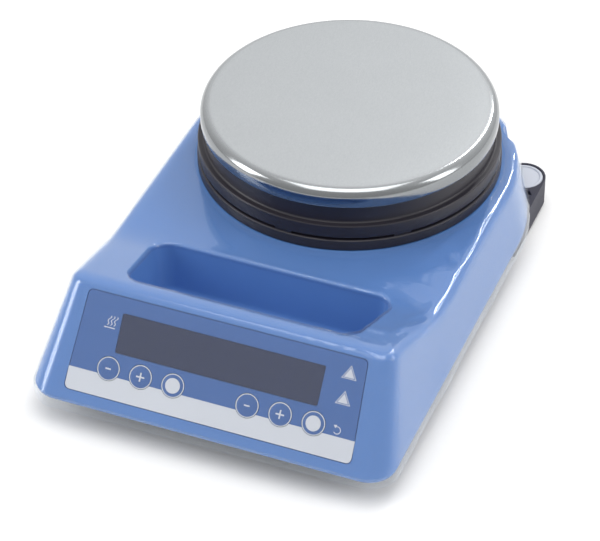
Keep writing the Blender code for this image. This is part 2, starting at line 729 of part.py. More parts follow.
def build_collar():
    drum = [(DRUM_RADIUS, PLATE_SKIRT_BOTTOM - GAP), (DRUM_RADIUS, FLANGE_TOP + 0.6),
            (DRUM_RADIUS + 0.6, FLANGE_TOP), (FLANGE_RADIUS - 0.5, FLANGE_TOP),
            (FLANGE_RADIUS, FLANGE_TOP - 0.5), (FLANGE_RADIUS, FLANGE_BOTTOM),
            (COLLAR_BORE_RADIUS, FLANGE_BOTTOM), (COLLAR_BORE_RADIUS, PLATE_SKIRT_BOTTOM - GAP)]
    add_part(turned("collar_drum", drum, 60), "anthracite")

    ring_inner = 56.0
    ring_floor = PLATEAU + GAP
    ring = [(RING_RADIUS - 0.8, RING_TOP), (RING_RADIUS, RING_TOP - 0.8), (RING_RADIUS, ring_floor),
            (ring_inner, ring_floor), (ring_inner, ring_floor + 2.1), (COLLAR_BORE_RADIUS, ring_floor + 2.1),
            (COLLAR_BORE_RADIUS, RING_TOP)]
    base_ring = add_part(turned("collar_base_ring", ring, 60), "anthracite")
    lug_bottom = RING_TOP - 0.5
    lug_top = FLANGE_BOTTOM - GAP
    for k in range(RING_LUGS):
        angle = RING_LUG_START + 2 * math.pi * k / RING_LUGS
        lug = box_mesh((6.2, 8.0, lug_top - lug_bottom), (65.4, 0.0, (lug_top + lug_bottom) / 2))
        lug = mesh_object(f"lug_{k}", lug)
        lug.rotation_euler = (0.0, 0.0, angle)
        combine(base_ring, add_cutter(lug), "UNION")


# --- Stirring drive -----------------------------------------------------------------------------------

def build_drive():
    foot = BASE_TOP + GAP
    mount = [(38.0, foot + 4.4), (38.0, foot), (32.0, foot), (32.0, foot + 2.0), (6.0, foot + 2.0),
             (6.0, foot + 4.4)]
    add_part(turned("motor_mount", mount, 40), "zinc")
    inner = BEARING_RADIUS + GAP
    case_bottom = foot + 4.4 + GAP
    case_top = 39.5
    case = [(MOTOR_RADIUS, case_top), (MOTOR_RADIUS, case_bottom), (inner, case_bottom), (inner, case_top)]
    add_part(turned("motor_case", case, 40), "black_plastic")
    lower_bearing = 18.2
    upper_bearing = 33.8
    for name, bottom in (("bearing_lower", lower_bearing), ("bearing_upper", upper_bearing)):
        race = [(BEARING_RADIUS, bottom + BEARING_HEIGHT), (BEARING_RADIUS, bottom),
                (SHAFT_RADIUS + GAP, bottom), (SHAFT_RADIUS + GAP, bottom + BEARING_HEIGHT)]
        add_part(turned(name, race, 24), "zinc")
    stack_radius = 7.2
    stack_bottom = lower_bearing + BEARING_HEIGHT + 0.6
    stack_top = upper_bearing - 0.6
    shaft_top = CARRIER_TOP - 3.8
    shaft = [(0.0, shaft_top), (SHAFT_RADIUS, shaft_top), (SHAFT_RADIUS, stack_top),
             (stack_radius, stack_top), (stack_radius, stack_bottom), (SHAFT_RADIUS, stack_bottom),
             (SHAFT_RADIUS, 17.6), (0.0, 17.6)]
    add_part(turned("motor_rotor", shaft, 24, closed=False), "zinc")
    disc_bottom = CARRIER_TOP - 3.5
    hub_bottom = 40.2
    bore = SHAFT_RADIUS + GAP
    carrier = [(0.0, CARRIER_TOP), (CARRIER_RADIUS, CARRIER_TOP), (CARRIER_RADIUS, disc_bottom),
               (7.0, disc_bottom), (6.0, hub_bottom), (bore, hub_bottom), (bore, disc_bottom),
               (0.0, disc_bottom)]
    add_part(turned("magnet_carrier", carrier, 40, closed=False), "aluminium")
    for name, side in (("magnet_north", 1), ("magnet_south", -1)):
        block = box_mesh(MAGNET, (side * MAGNET_X, 0.0, CARRIER_TOP + GAP + MAGNET[2] / 2))
        add_part(mesh_object(name, block), "magnet")


# --- Rod bracket ---------------------------------------------------------------------------------------

def build_bracket():
    body = prism_mesh(bracket_outline(0.0, ARM_FRONT_Y), BRACKET_BOTTOM, BRACKET_TOP)
    bracket = add_part(mesh_object("rod_bracket", body), "bracket_grey")
    # The tongue lies under the base plate and takes the bracket's two screws.
    tongue_top = BASE_BOTTOM - GAP
    tongue = box_mesh(TONGUE, (ARM_INNER_X + 1.0 - TONGUE[0] / 2, TONGUE_Y, tongue_top - TONGUE[2] / 2))
    combine(bracket, add_cutter(mesh_object("bracket_tongue", tongue)), "UNION")
    for name, (x, y) in BRACKET_SCREW_POSITIONS.items():
        hole = cylinder_mesh(SCREW_HOLE_RADIUS, 0.0, 20.0, (x, y), 12)
        combine(bracket, add_cutter(mesh_object("cut_tongue_" + name, hole)))
        add_screw(name, (x, y), tongue_top - TONGUE[2] - GAP, BASE_TOP + 2.0)
    bore_top = BRACKET_TOP - CAP_HEAD_DEPTH - GAP
    bore_floor = BRACKET_BOTTOM + 1.5
    bore_profile = [(0.0, 30.0), (ROD_CAP_RADIUS + GAP, 30.0), (ROD_CAP_RADIUS + GAP, bore_top),
                    (ROD_BORE_RADIUS, bore_top), (ROD_BORE_RADIUS, bore_floor), (0.0, bore_floor)]
    bore = turned("cut_rod_bore", bore_profile, 32, closed=False, origin=(BOSS_X, BOSS_Y, 0.0))
    combine(bracket, add_cutter(bore))
    pockets = {
        "rear": [(63.0, 35.6), (77.0, 35.6), (75.4, 38.0), (72.6, 38.4), (63.0, 38.4)],
        "front": [(63.0, 26.0), (75.2, 26.0), (76.6, 33.2), (63.0, 33.2)],
    }
    for name, outline in pockets.items():
        combine(bracket, add_cutter(mesh_object("cut_pocket_" + name, prism_mesh(outline, 7.0, 30.0))))

    plug_radius = ROD_BORE_RADIUS - GAP
    head_bottom = BRACKET_TOP - CAP_HEAD_DEPTH
    plug_bottom = BRACKET_TOP - CAP_PLUG_DEPTH
    profile = [(0.0, BRACKET_TOP), (ROD_CAP_RADIUS - 0.4, BRACKET_TOP),
               (ROD_CAP_RADIUS, BRACKET_TOP - 0.4), (ROD_CAP_RADIUS, head_bottom),
               (plug_radius, head_bottom), (plug_radius - 0.4, plug_bottom), (0.0, plug_bottom)]
    cap = turned("rod_cap", profile, 32, closed=False, origin=(BOSS_X, BOSS_Y, 0.0))
    add_part(cap, "cap_grey")


# --- Rear panel with inlet, switch and sensor socket --------------------------------------------------

TURN_TO_REAR = (math.pi / 2, 0.0, 0.0)
PANEL_THICKNESS = 1.6


def build_rear():
    plate = box_mesh((2 * REAR_PANEL_HALF, PANEL_THICKNESS, REAR_PANEL_TOP - 9.0),
                     (0.0, REAR_PANEL_Y + PANEL_THICKNESS / 2, (REAR_PANEL_TOP + 9.0) / 2))
    panel = add_part(mesh_object("rear_panel", plate), "base_grey")
    inlet_hole = box_mesh((INLET_BODY[0] + 2 * GAP, 10.0, INLET_BODY[2] + 2 * GAP))
    rocker_hole = box_mesh((SWITCH_BODY[0] + 2 * GAP, 10.0, SWITCH_BODY[2] + 2 * GAP))
    socket_hole = cylinder_mesh(SOCKET_RADIUS + 0.4, -10.0, 10.0)
    for name, x, bm in (("inlet", INLET_X, inlet_hole), ("rocker", ROCKER_X, rocker_hole),
                        ("socket", SOCKET_X, socket_hole)):
        cutter = mesh_object("cut_panel_" + name, bm, origin=(x, REAR_PANEL_Y, CONNECTOR_Z))
        if name == "socket":
            cutter.rotation_euler = TURN_TO_REAR
        combine(panel, add_cutter(cutter))
    outside = REAR_PANEL_Y + PANEL_THICKNESS + GAP
    build_inlet(outside)
    build_rocker(outside)

    flange_y = REAR_PANEL_Y - outside
    body = [(0.0, 12.0), (SOCKET_RADIUS, 12.0), (SOCKET_RADIUS, flange_y), (8.2, flange_y),
            (8.2, flange_y - 2.0), (SOCKET_BORE_RADIUS, flange_y - 2.0), (SOCKET_BORE_RADIUS, 4.0),
            (0.0, 4.0)]
    socket = turned("sensor_socket", body, 24, closed=False, origin=(SOCKET_X, REAR_PANEL_Y, CONNECTOR_Z))
    socket.rotation_euler = TURN_TO_REAR
    add_part(socket, "black_plastic")


def build_inlet(outside):
    """Appliance inlet: a flange outside the panel, a body behind it, and a recess with three pins."""
    body = box_mesh(INLET_BODY, (INLET_X, REAR_PANEL_Y - 7.6, CONNECTOR_Z))
    inlet = add_part(mesh_object("mains_inlet", body), "black_plastic")
    flange_y = outside + INLET_FLANGE_THICKNESS
    flange = prism_mesh(rounded_rectangle(INLET_FLANGE, 3.0), 0.0, INLET_FLANGE_THICKNESS)
    recess = prism_mesh(rounded_rectangle(INLET_RECESS, 2.5), -4.0, 15.0)
    for name, bm, operation in (("flange", flange, "UNION"), ("recess", recess, "DIFFERENCE")):
        form = mesh_object("inlet_" + name, bm, origin=(INLET_X, flange_y, CONNECTOR_Z))
        form.rotation_euler = TURN_TO_REAR
        combine(inlet, add_cutter(form), operation)
    for name, dx, dz in (("earth", 0.0, 2.5), ("line", -7.0, -2.5), ("neutral", 7.0, -2.5)):
        pin = box_mesh((2.0, 12.0, 4.0), (INLET_X + dx, flange_y - 10.0, CONNECTOR_Z + dz))
        combine(inlet, add_cutter(mesh_object("pin_" + name, pin)), "UNION")


def build_rocker(outside):
    """Mains switch: a frame in the panel, and the rocker that tilts in it about an axis along x."""
    body = box_mesh(SWITCH_BODY, (ROCKER_X, REAR_PANEL_Y - 4.6, CONNECTOR_Z))
    frame = add_part(mesh_object("switch_frame", body), "black_plastic")
    rim = box_mesh((15.6, 1.8, 21.6), (ROCKER_X, outside + 0.9, CONNECTOR_Z))
    combine(frame, add_cutter(mesh_object("switch_rim", rim)), "UNION")
    well = box_mesh((11.0, 14.0, 16.6), (ROCKER_X, outside - 1.2, CONNECTOR_Z))
    combine(frame, add_cutter(mesh_object("cut_switch_well", well)))

    # Outline in y and z, with a shallow hollow in the outer face; then x, y, z become y, z, x.
    outline = [(3.6, -7.3), (2.5, 0.0), (3.6, 7.3), (-2.6, 6.4), (-2.6, -6.4)]
    bm = prism_mesh(outline, -5.1, 5.1)
    upright = Matrix(((0.0, 0.0, 1.0), (1.0, 0.0, 0.0), (0.0, 1.0, 0.0)))
    bmesh.ops.rotate(bm, matrix=upright, verts=bm.verts)
    rocker = mesh_object("mains_rocker", bm, origin=(ROCKER_X, outside - 2.0, CONNECTOR_Z))
    rocker.rotation_euler = (ROCKER_TILT, 0.0, 0.0)
    add_part(rocker, "black_plastic")


# --- Electronics and leads -------------------------------------------------------------------------------

def build_electronics():
    board = box_mesh(POWER_BOARD, (0.0, ELECTRONICS_Y, POWER_BOARD_Z))
    add_part(mesh_object("power_board", board), "board_green")
    deck = POWER_BOARD_Z + POWER_BOARD[2] / 2 + GAP
    transformer = box_mesh(TRANSFORMER, (TRANSFORMER_X, ELECTRONICS_Y, deck + TRANSFORMER[2] / 2))
    add_part(mesh_object("transformer", transformer), "black_plastic")
    can = cylinder_mesh(7.0, deck, deck + 18.0, (CAPACITOR_X, ELECTRONICS_Y), 20)
    add_part(mesh_object("capacitor", can), "black_plastic")
    sink = box_mesh(HEAT_SINK, (HEAT_SINK_X, ELECTRONICS_Y, deck + HEAT_SINK[2] / 2))
    sink = add_part(mesh_object("heat_sink", sink), "aluminium")
    for k in range(4):
        x = HEAT_SINK_X + FIN_PITCH * (k - 1.5)
        slot = box_mesh((3.0, 30.0, 16.0), (x, ELECTRONICS_Y, deck + 16.0))
        combine(sink, add_cutter(mesh_object(f"cut_fin_{k}", slot)))
    tube("heater_lead", [(36.0, -49.6, 19.6), (40.0, -43.0, 26.0), (44.0, -34.0, 36.0),
                         (46.5, -27.0, 44.0), (50.0, -24.0, 52.0), (52.5, -23.0, 60.0),
                         (52.5, -23.0, 67.2)],
         1.4, "sleeve_red")
    tube("motor_lead", [(6.0, -48.5, 19.4), (6.0, -42.0, 24.0), (6.0, -36.0, 28.0), (6.0, -28.0, 28.0)],
         1.2, "copper")
    tube("mains_lead", [(INLET_X - 4.0, REAR_PANEL_Y - 20.5, 22.0), (-34.0, 34.0, 20.0), (-44.0, 10.0, 18.0),
                        (-45.0, -20.0, 18.0), (-44.0, -42.0, 21.0), (-43.0, -49.0, 20.3)],
         1.8, "black_plastic")


def build_ribbon():
    """Flat ribbon from the control board, under the trough, to the power board."""
    path = [(-151.6, 17.6), (-148.5, 14.9), (-140.0, 14.3), (-84.0, 14.3), (-80.0, 14.6)]
    bm = bmesh.new()
    rows = [[bm.verts.new((x, y, z)) for x in (-12.0, 12.0)] for y, z in path]
    for first, second in zip(rows[:-1], rows[1:]):
        bm.faces.new((first[0], first[1], second[1], second[0]))
    ribbon = add_part(mesh_object("panel_ribbon", bm), "sleeve_red")
    solid = ribbon.modifiers.new("thickness", "SOLIDIFY")
    solid.thickness = 0.8 * MM
    solid.offset = 0.0
    return ribbon


build_housing()
build_cover()
build_base()
build_panel()
build_plate()
build_collar()
build_drive()
build_bracket()
build_rear()
build_electronics()
build_ribbon()
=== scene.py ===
"""Magnetic stirrer with a heated steel plate: its looks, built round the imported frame.

The sections follow the instrument as it is put together: housing, base and feet, drive and heater,
collar and plate, control panel, rear connectors, rod bracket, and last the clear cover.  Sizes are in
millimetres; every mesh is finished in metres, in the frame's own place.
"""

import math

import bmesh
import bpy
from mathutils import Matrix, Vector, noise


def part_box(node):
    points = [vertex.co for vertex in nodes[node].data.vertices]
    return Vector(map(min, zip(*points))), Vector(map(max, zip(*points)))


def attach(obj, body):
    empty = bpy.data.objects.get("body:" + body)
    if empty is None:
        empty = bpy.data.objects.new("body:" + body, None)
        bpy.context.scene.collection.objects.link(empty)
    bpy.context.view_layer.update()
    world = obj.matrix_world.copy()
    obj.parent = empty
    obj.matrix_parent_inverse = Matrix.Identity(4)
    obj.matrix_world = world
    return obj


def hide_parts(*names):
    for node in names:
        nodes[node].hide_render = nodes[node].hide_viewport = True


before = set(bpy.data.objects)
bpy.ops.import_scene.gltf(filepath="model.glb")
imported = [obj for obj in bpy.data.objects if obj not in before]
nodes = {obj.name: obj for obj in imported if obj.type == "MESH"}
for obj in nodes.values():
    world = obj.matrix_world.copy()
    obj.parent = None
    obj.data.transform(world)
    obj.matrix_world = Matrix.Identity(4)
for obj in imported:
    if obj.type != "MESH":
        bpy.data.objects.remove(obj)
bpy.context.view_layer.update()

MM = 0.001


# --- Housing ------------------------------------------------------------------------------------
# One injection-moulded ABS shell: a rounded rear round the heating plate, a ramp that rises to the
# front, a deep grip trough, and an inclined front that seats the key foil.  Its glossy light-blue
# surface has the faint waviness of a polished mould.

plate_low, plate_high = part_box("heating_plate")
shell_low, shell_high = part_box("housing_shell")
AXIS_Y = (plate_low.y + plate_high.y) / 2 / MM

PLATEAU = 43.0
CHIN_Z = 16.0
SIDE_DRAFT = 0.225
HALF_WIDTH = shell_high.x / MM - (PLATEAU - CHIN_Z) * SIDE_DRAFT
HOUSING_BOTTOM = shell_low.z / MM
LIP_Z = 58.0
CORNER_AT_CHIN = 12.5
CORNER_AT_LIP = 7.0
TOP_EDGE = 5.0
BOTTOM_EDGE = 3.2
RAMP_START_Y = -91.0
RAMP_SLOPE = 0.315
RAMP_BLEND = 9.0
PANEL_LEAN = math.radians(36.4)
PANEL_Y = -155.05
PANEL_Z = 37.4
COLLAR_BORE = 59.0
SPLIT_Y = -80.0

TROUGH_FRONT_Y = -131.5
TROUGH_REAR_Y = -88.5
TROUGH_HALF_FRONT = 53.5
TROUGH_HALF_REAR = 56.0
TROUGH_CORNER = 9.0
TROUGH_TAPER = 2.6
TROUGH_FLOOR = 19.0
TROUGH_RIM = 1.5
TROUGH_FLOOR_EDGE = 4.0
SHELL_WALL = 2.0

# How many faces each stretch of the outline gets
SIDE_FRONT, CORNER, FRONT, SIDE_REAR, REAR, RIM_CORNER = 20, 10, 60, 26, 80, 5


def linear(code):
    """An sRGB hex colour as linear red, green, blue and alpha."""
    channels = [int(code[i:i + 2], 16) / 255 for i in (0, 2, 4)]
    return (*[c / 12.92 if c <= 0.04045 else ((c + 0.055) / 1.055) ** 2.4 for c in channels], 1.0)


def add_node(tree, kind, settings=None, links=None):
    """A node with its settings, each a property or a socket's value, and what feeds its sockets."""
    made = tree.nodes.new(kind)
    for key, value in (settings or {}).items():
        if isinstance(key, str) and hasattr(made, key):
            setattr(made, key, value)
        else:
            made.inputs[key].default_value = value
    for key, source in (links or {}).items():
        tree.links.new(source, made.inputs[key])
    return made


def new_material(name, settings):
    """An empty Principled material: its tree, its shader and its Object coordinates."""
    material = bpy.data.materials.new(name)
    material.use_nodes = True
    tree = material.node_tree
    tree.nodes.clear()
    shader = add_node(tree, "ShaderNodeBsdfPrincipled", settings)
    add_node(tree, "ShaderNodeOutputMaterial", None, {"Surface": shader.outputs[0]})
    spot = add_node(tree, "ShaderNodeTexCoord").outputs["Object"]
    return material, tree, shader, spot


def moulded(name, code, roughness, grain, depth, mottle=0.06, ior=1.5, blotch=14.0):
    """A moulded polymer: a fine surface grain in mm, uneven gloss and a slight mottle in its colour."""
    material, tree, shader, spot = new_material(name, {"IOR": ior})
    cloud = add_node(tree, "ShaderNodeTexNoise", {"Scale": 1 / (blotch * MM), "Detail": 3.0},
                     {"Vector": spot})
    light = [min(c * (1 + mottle), 1.0) for c in linear(code)[:3]]
    dark = [c * (1 - mottle) for c in linear(code)[:3]]
    colour = add_node(tree, "ShaderNodeMix",
                      {"data_type": "RGBA", 6: (*dark, 1.0), 7: (*light, 1.0)},
                      {0: cloud.outputs[0]})
    tree.links.new(colour.outputs[2], shader.inputs["Base Color"])
    skin = add_node(tree, "ShaderNodeTexNoise", {"Scale": 1 / (grain * MM), "Detail": 4.0},
                    {"Vector": spot})
    gloss = add_node(tree, "ShaderNodeMapRange", {3: roughness * 0.85, 4: roughness * 1.15},
                     {0: skin.outputs[0]})
    tree.links.new(gloss.outputs[0], shader.inputs["Roughness"])
    bump = add_node(tree, "ShaderNodeBump", {"Strength": 1.0, "Distance": depth * MM},
                    {"Height": skin.outputs[0]})
    tree.links.new(bump.outputs[0], shader.inputs["Normal"])
    return material


def ramp_height(y):
    """Height of the housing's top: flat round the collar, then rising in a ramp to the front."""
    rise = RAMP_START_Y - y
    if rise <= -RAMP_BLEND:
        return PLATEAU
    if rise >= RAMP_BLEND:
        return PLATEAU + RAMP_SLOPE * rise
    return PLATEAU + RAMP_SLOPE * (rise + RAMP_BLEND) ** 2 / (4 * RAMP_BLEND)


def line(start, end, count):
    """The points from start up to, but not at, the end."""
    return [tuple(a + (b - a) * k / count for a, b in zip(start, end)) for k in range(count)]


def arc(centre, radius, start, end, count):
    """The points along an arc up to, but not at, its end."""
    angles = [math.radians(start + (end - start) * k / count) for k in range(count)]
    return [(centre[0] + radius * math.cos(a), centre[1] + radius * math.sin(a)) for a in angles]


def outline(z, inset, panel_inset):
    """Closed plan of the housing at one height, clockwise from the right end of the split line."""
    z = max(z, CHIN_Z)
    half = HALF_WIDTH + (PLATEAU - z) * SIDE_DRAFT - inset
    front = PANEL_Y + (z - PANEL_Z) * math.tan(PANEL_LEAN) + panel_inset / math.cos(PANEL_LEAN)
    share = (z - CHIN_Z) / (LIP_Z - CHIN_Z)
    corner = max(CORNER_AT_CHIN + (CORNER_AT_LIP - CORNER_AT_CHIN) * share - inset, 2.0)
    back = front + corner
    points = line((half, SPLIT_Y), (half, back), SIDE_FRONT)
    points += arc((half - corner, back), corner, 0, -90, CORNER)
    points += line((half - corner, front), (corner - half, front), FRONT)
    points += arc((corner - half, back), corner, -90, -180, CORNER)
    points += line((-half, back), (-half, SPLIT_Y), SIDE_FRONT)
    points += line((-half, SPLIT_Y), (-half, 0.0), SIDE_REAR)
    points += arc((0.0, 0.0), half, 180, 0, REAR)
    points += line((half, 0.0), (half, SPLIT_Y), SIDE_REAR)
    return points


def trough_outline(grow):
    """Plan of the trough, clockwise from the middle of its rear right corner."""
    front, rear = TROUGH_FRONT_Y - grow, TROUGH_REAR_Y + grow
    half_front, half_rear = TROUGH_HALF_FRONT + grow, TROUGH_HALF_REAR + grow
    corner = TROUGH_CORNER + grow
    side = SIDE_FRONT - RIM_CORNER
    split_line = FRONT - 2 * RIM_CORNER
    rear_right, rear_left = (half_rear - corner, rear - corner), (corner - half_rear, rear - corner)
    front_right, front_left = (half_front - corner, front + corner), (corner - half_front, front + corner)
    points = arc(rear_right, corner, 45, 0, RIM_CORNER)
    points += line((half_rear, rear - corner), (half_front, front + corner), side)
    points += arc(front_right, corner, 0, -90, CORNER)
    points += line((front_right[0], front), (front_left[0], front), FRONT)
    points += arc(front_left, corner, -90, -180, CORNER)
    points += line((-half_front, front + corner), (-half_rear, rear - corner), side)
    points += arc(rear_left, corner, 180, 90, 2 * RIM_CORNER)
    points += line((rear_left[0], rear), (rear_right[0], rear), split_line)
    points += arc(rear_right, corner, 90, 45, RIM_CORNER)
    return points


def curve_between(low, corner, high, count):
    """A quadratic curve from low to high that bends towards the corner."""
    made = []
    for k in range(count + 1):
        t = k / count
        made.append([a * (1 - t) ** 2 + b * 2 * t * (1 - t) + c * t * t
                     for a, b, c in zip(low, corner, high)])
    return made


def stretch(bm, first, second):
    """Faces between two closed rows of vertices."""
    count = len(first)
    for k in range(count):
        n = (k + 1) % count
        bm.faces.new((first[k], first[n], second[n], second[k]))


def housing_skin(hem, bottom_edge, collar_radius, trough_end):
    """The housing's outer skin as one open surface with a hole at the hem and at the collar.

    trough_end is how far the skin turns down into the trough, or None for the whole trough.
    """
    bm = bmesh.new()
    tops = []
    for index in range(len(outline(PLATEAU, 0.0, 0.0))):
        z = PLATEAU
        for _ in range(30):
            z = ramp_height(outline(z, 0.0, 0.0)[index][1])
        tops.append(z)
    level_cache = {}

    def wall(index, z, inset):
        key = (round(z, 6), inset)
        if key not in level_cache:
            level_cache[key] = outline(z, inset, inset)
        return (*level_cache[key][index], z)

    columns = []
    for index, top in enumerate(tops):
        column = []
        wall_start = hem
        if bottom_edge:
            wall_start = hem + bottom_edge
            column += curve_between(wall(index, hem, bottom_edge * 0.6), wall(index, hem, 0.0),
                                    wall(index, wall_start, 0.0), 6)[:-1]
        edge_start = top - TOP_EDGE * 0.55
        column += [wall(index, wall_start + (edge_start - wall_start) * k / 14, 0.0) for k in range(14)]
        inner = wall(index, top, TOP_EDGE)
        inner = (inner[0], inner[1], ramp_height(inner[1]))
        column += curve_between(wall(index, edge_start, 0.0), wall(index, top, 0.0), inner, 8)
        columns.append(column)
    levels = len(columns[0])
    rows = [[bm.verts.new(column[level]) for column in columns] for level in range(levels)]
    for lower, upper in zip(rows[:-1], rows[1:]):
        stretch(bm, lower, upper)

    # The top is two fields that share the split line: one round the trough, one round the collar.
    rim = rows[-1]
    left_end = 2 * SIDE_FRONT + 2 * CORNER + FRONT
    right, left = rim[0].co, rim[left_end].co
    split = [bm.verts.new((left.x + (right.x - left.x) * k / FRONT, SPLIT_Y, ramp_height(SPLIT_Y)))
             for k in range(1, FRONT)]
    trough_loop = rim[:left_end + 1] + split
    previous = trough_loop
    start = trough_outline(TROUGH_RIM)
    for share in (0.08, 0.18, 0.3, 0.42, 0.54, 0.66, 0.78, 0.9, 1.0):
        row = []
        for outer, inner in zip(trough_loop, start):
            x = outer.co.x + (inner[0] - outer.co.x) * share
            y = outer.co.y + (inner[1] - outer.co.y) * share
            row.append(bm.verts.new((x, y, ramp_height(y))))
        stretch(bm, previous, row)
        previous = row
    edge = trough_outline(0.0)
    depth = TROUGH_RIM if trough_end is None else trough_end
    bends = [curve_between((*far, ramp_height(far[1])), (*near, ramp_height(near[1])),
                           (*near, ramp_height(near[1]) - depth), 6)
             for far, near in zip(start, edge)]
    for level in range(1, 7):
        row = [bm.verts.new(bend[level]) for bend in bends]
        stretch(bm, previous, row)
        previous = row
    if trough_end is None:
        floor_wide = trough_outline(-TROUGH_TAPER)
        floor_flat = trough_outline(-TROUGH_TAPER - TROUGH_FLOOR_EDGE)
        walls_end = TROUGH_FLOOR + TROUGH_FLOOR_EDGE
        for share in (0.3, 0.65, 1.0):
            row = []
            for bend, low in zip(bends, floor_wide):
                top = bend[-1]
                row.append(bm.verts.new((top[0] + (low[0] - top[0]) * share,
                                         top[1] + (low[1] - top[1]) * share,
                                         top[2] + (walls_end - top[2]) * share)))
            stretch(bm, previous, row)
            previous = row
        bends = [curve_between((*wide, walls_end), (*wide, TROUGH_FLOOR), (*flat, TROUGH_FLOOR), 6)
                 for wide, flat in zip(floor_wide, floor_flat)]
        for level in range(1, 7):
            row = [bm.verts.new(bend[level]) for bend in bends]
            stretch(bm, previous, row)
            previous = row
        bm.faces.new(previous)

    collar_loop = rim[left_end:] + [rim[0]] + split[::-1]
    left_angle = math.atan2(left.y, left.x)
    right_angle = math.atan2(right.y, right.x)
    angles = [left_angle + 2 * math.pi + (-math.pi - left_angle) * k / SIDE_REAR for k in range(SIDE_REAR)]
    angles += [math.pi - math.pi * k / REAR for k in range(REAR)]
    angles += [right_angle * k / SIDE_REAR for k in range(SIDE_REAR)]
    angles += [right_angle + (left_angle - right_angle) * k / FRONT for k in range(FRONT)]
    previous = collar_loop
    for share in (0.12, 0.25, 0.4, 0.55, 0.7, 0.85, 1.0):
        row = []
        for outer, angle in zip(collar_loop, angles):
            x = outer.co.x + (collar_radius * math.cos(angle) - outer.co.x) * share
            y = outer.co.y + (collar_radius * math.sin(angle) - outer.co.y) * share
            row.append(bm.verts.new((x, y, PLATEAU)))
        stretch(bm, previous, row)
        previous = row

    bmesh.ops.remove_doubles(bm, verts=bm.verts, dist=0.0001)
    bmesh.ops.recalc_face_normals(bm, faces=bm.faces)
    wall_face = max(bm.faces, key=lambda face: face.calc_center_median().x)
    if wall_face.normal.x < 0:
        bmesh.ops.reverse_faces(bm, faces=bm.faces)
    return bm


def make_object(name, bm, material=None, matrix=None, angle=30.0):
    """Finish millimetres about the plate's axis, or in a frame of their own, as a piece at the origin."""
    place = Matrix.Translation((0.0, AXIS_Y, 0.0)) @ (matrix or Matrix.Identity(4))
    bmesh.ops.transform(bm, matrix=Matrix.Scale(MM, 4) @ place, verts=bm.verts)
    mesh = bpy.data.meshes.new(name)
    bm.to_mesh(mesh)
    bm.free()
    mesh.shade_smooth()
    mesh.set_sharp_from_angle(angle=math.radians(angle))
    made = bpy.data.objects.new(name, mesh)
    bpy.context.scene.collection.objects.link(made)
    if material:
        mesh.materials.append(material)
    return made


def bake(obj, angle=30.0):
    """Turn an object's live modifiers into its mesh."""
    bpy.context.view_layer.update()
    mesh = bpy.data.meshes.new_from_object(obj.evaluated_get(bpy.context.evaluated_depsgraph_get()))
    obj.modifiers.clear()
    obj.data = mesh
    mesh.shade_smooth()
    mesh.set_sharp_from_angle(angle=math.radians(angle))
    return obj


def cut(obj, cutters):
    """Cut with each cutter in turn, bake the result and drop the cutters."""
    for cutter in cutters:
        modifier = obj.modifiers.new("cut", "BOOLEAN")
        modifier.operation = "DIFFERENCE"
        modifier.solver = "MANIFOLD"
        modifier.object = cutter
    bake(obj)
    for cutter in cutters:
        bpy.data.objects.remove(cutter, do_unlink=True)
    return obj


def box_bmesh(size, centre=(0.0, 0.0, 0.0)):
    bm = bmesh.new()
    bmesh.ops.create_cube(bm, size=1.0)
    bmesh.ops.scale(bm, vec=size, verts=bm.verts)
    bmesh.ops.translate(bm, vec=centre, verts=bm.verts)
    return bm


def prism_bmesh(points, bottom, top):
    """A flat outline, raised from bottom to top."""
    bm = bmesh.new()
    base = bm.faces.new([bm.verts.new((x, y, bottom)) for x, y in points])
    raised = bmesh.ops.extrude_face_region(bm, geom=[base])
    moved = [v for v in raised["geom"] if isinstance(v, bmesh.types.BMVert)]
    bmesh.ops.translate(bm, vec=(0.0, 0.0, top - bottom), verts=moved)
    bmesh.ops.recalc_face_normals(bm, faces=bm.faces)
    return bm


def rounded(half_top, half_bottom, half_height, radius, count=8):
    """A trapezoid with rounded corners, anticlockwise, in a plane of its own."""
    return (arc((half_top - radius, half_height - radius), radius, 0, 90, count) + [(half_top - radius, half_height)]
            + arc((radius - half_top, half_height - radius), radius, 90, 180, count) + [(-half_top, half_height - radius)]
            + arc((radius - half_bottom, radius - half_height), radius, 180, 270, count)
            + [(radius - half_bottom, -half_height)]
            + arc((half_bottom - radius, radius - half_height), radius, 270, 360, count)
            + [(half_bottom, radius - half_height)])


PANEL = Matrix.Translation((0.0, PANEL_Y, PANEL_Z)) @ Matrix.Rotation(math.pi / 2 - PANEL_LEAN, 4, "X")
FOIL_HALF_TOP = 127.3 / 2
FOIL_HALF_BOTTOM = 131.4 / 2
FOIL_HALF_HEIGHT = 44.5 / 2
FOIL_CORNER = 2.4
FOIL_DEPTH = 0.8
WINDOW_SIZE = (92.0, 17.1)
WINDOW_V = 6.6
KEY_RADIUS = 5.1
KEY_V = -9.3
KEY_PITCH = 14.9
KEY_ROWS = {"heat": -47.4, "stir": 16.3}
BOSS = Vector((69.0, 48.3))
BOSS_RADIUS = 10.2

abs_blue = moulded("abs_gloss_light_blue", "5A82BE", 0.16, 1.6, 0.012, mottle=0.03)
housing = make_object("housing", housing_skin(HOUSING_BOTTOM, BOTTOM_EDGE, COLLAR_BORE, None), abs_blue)
wall = housing.modifiers.new("wall", "SOLIDIFY")
wall.thickness = SHELL_WALL * MM
wall.offset = -1.0
bake(housing)

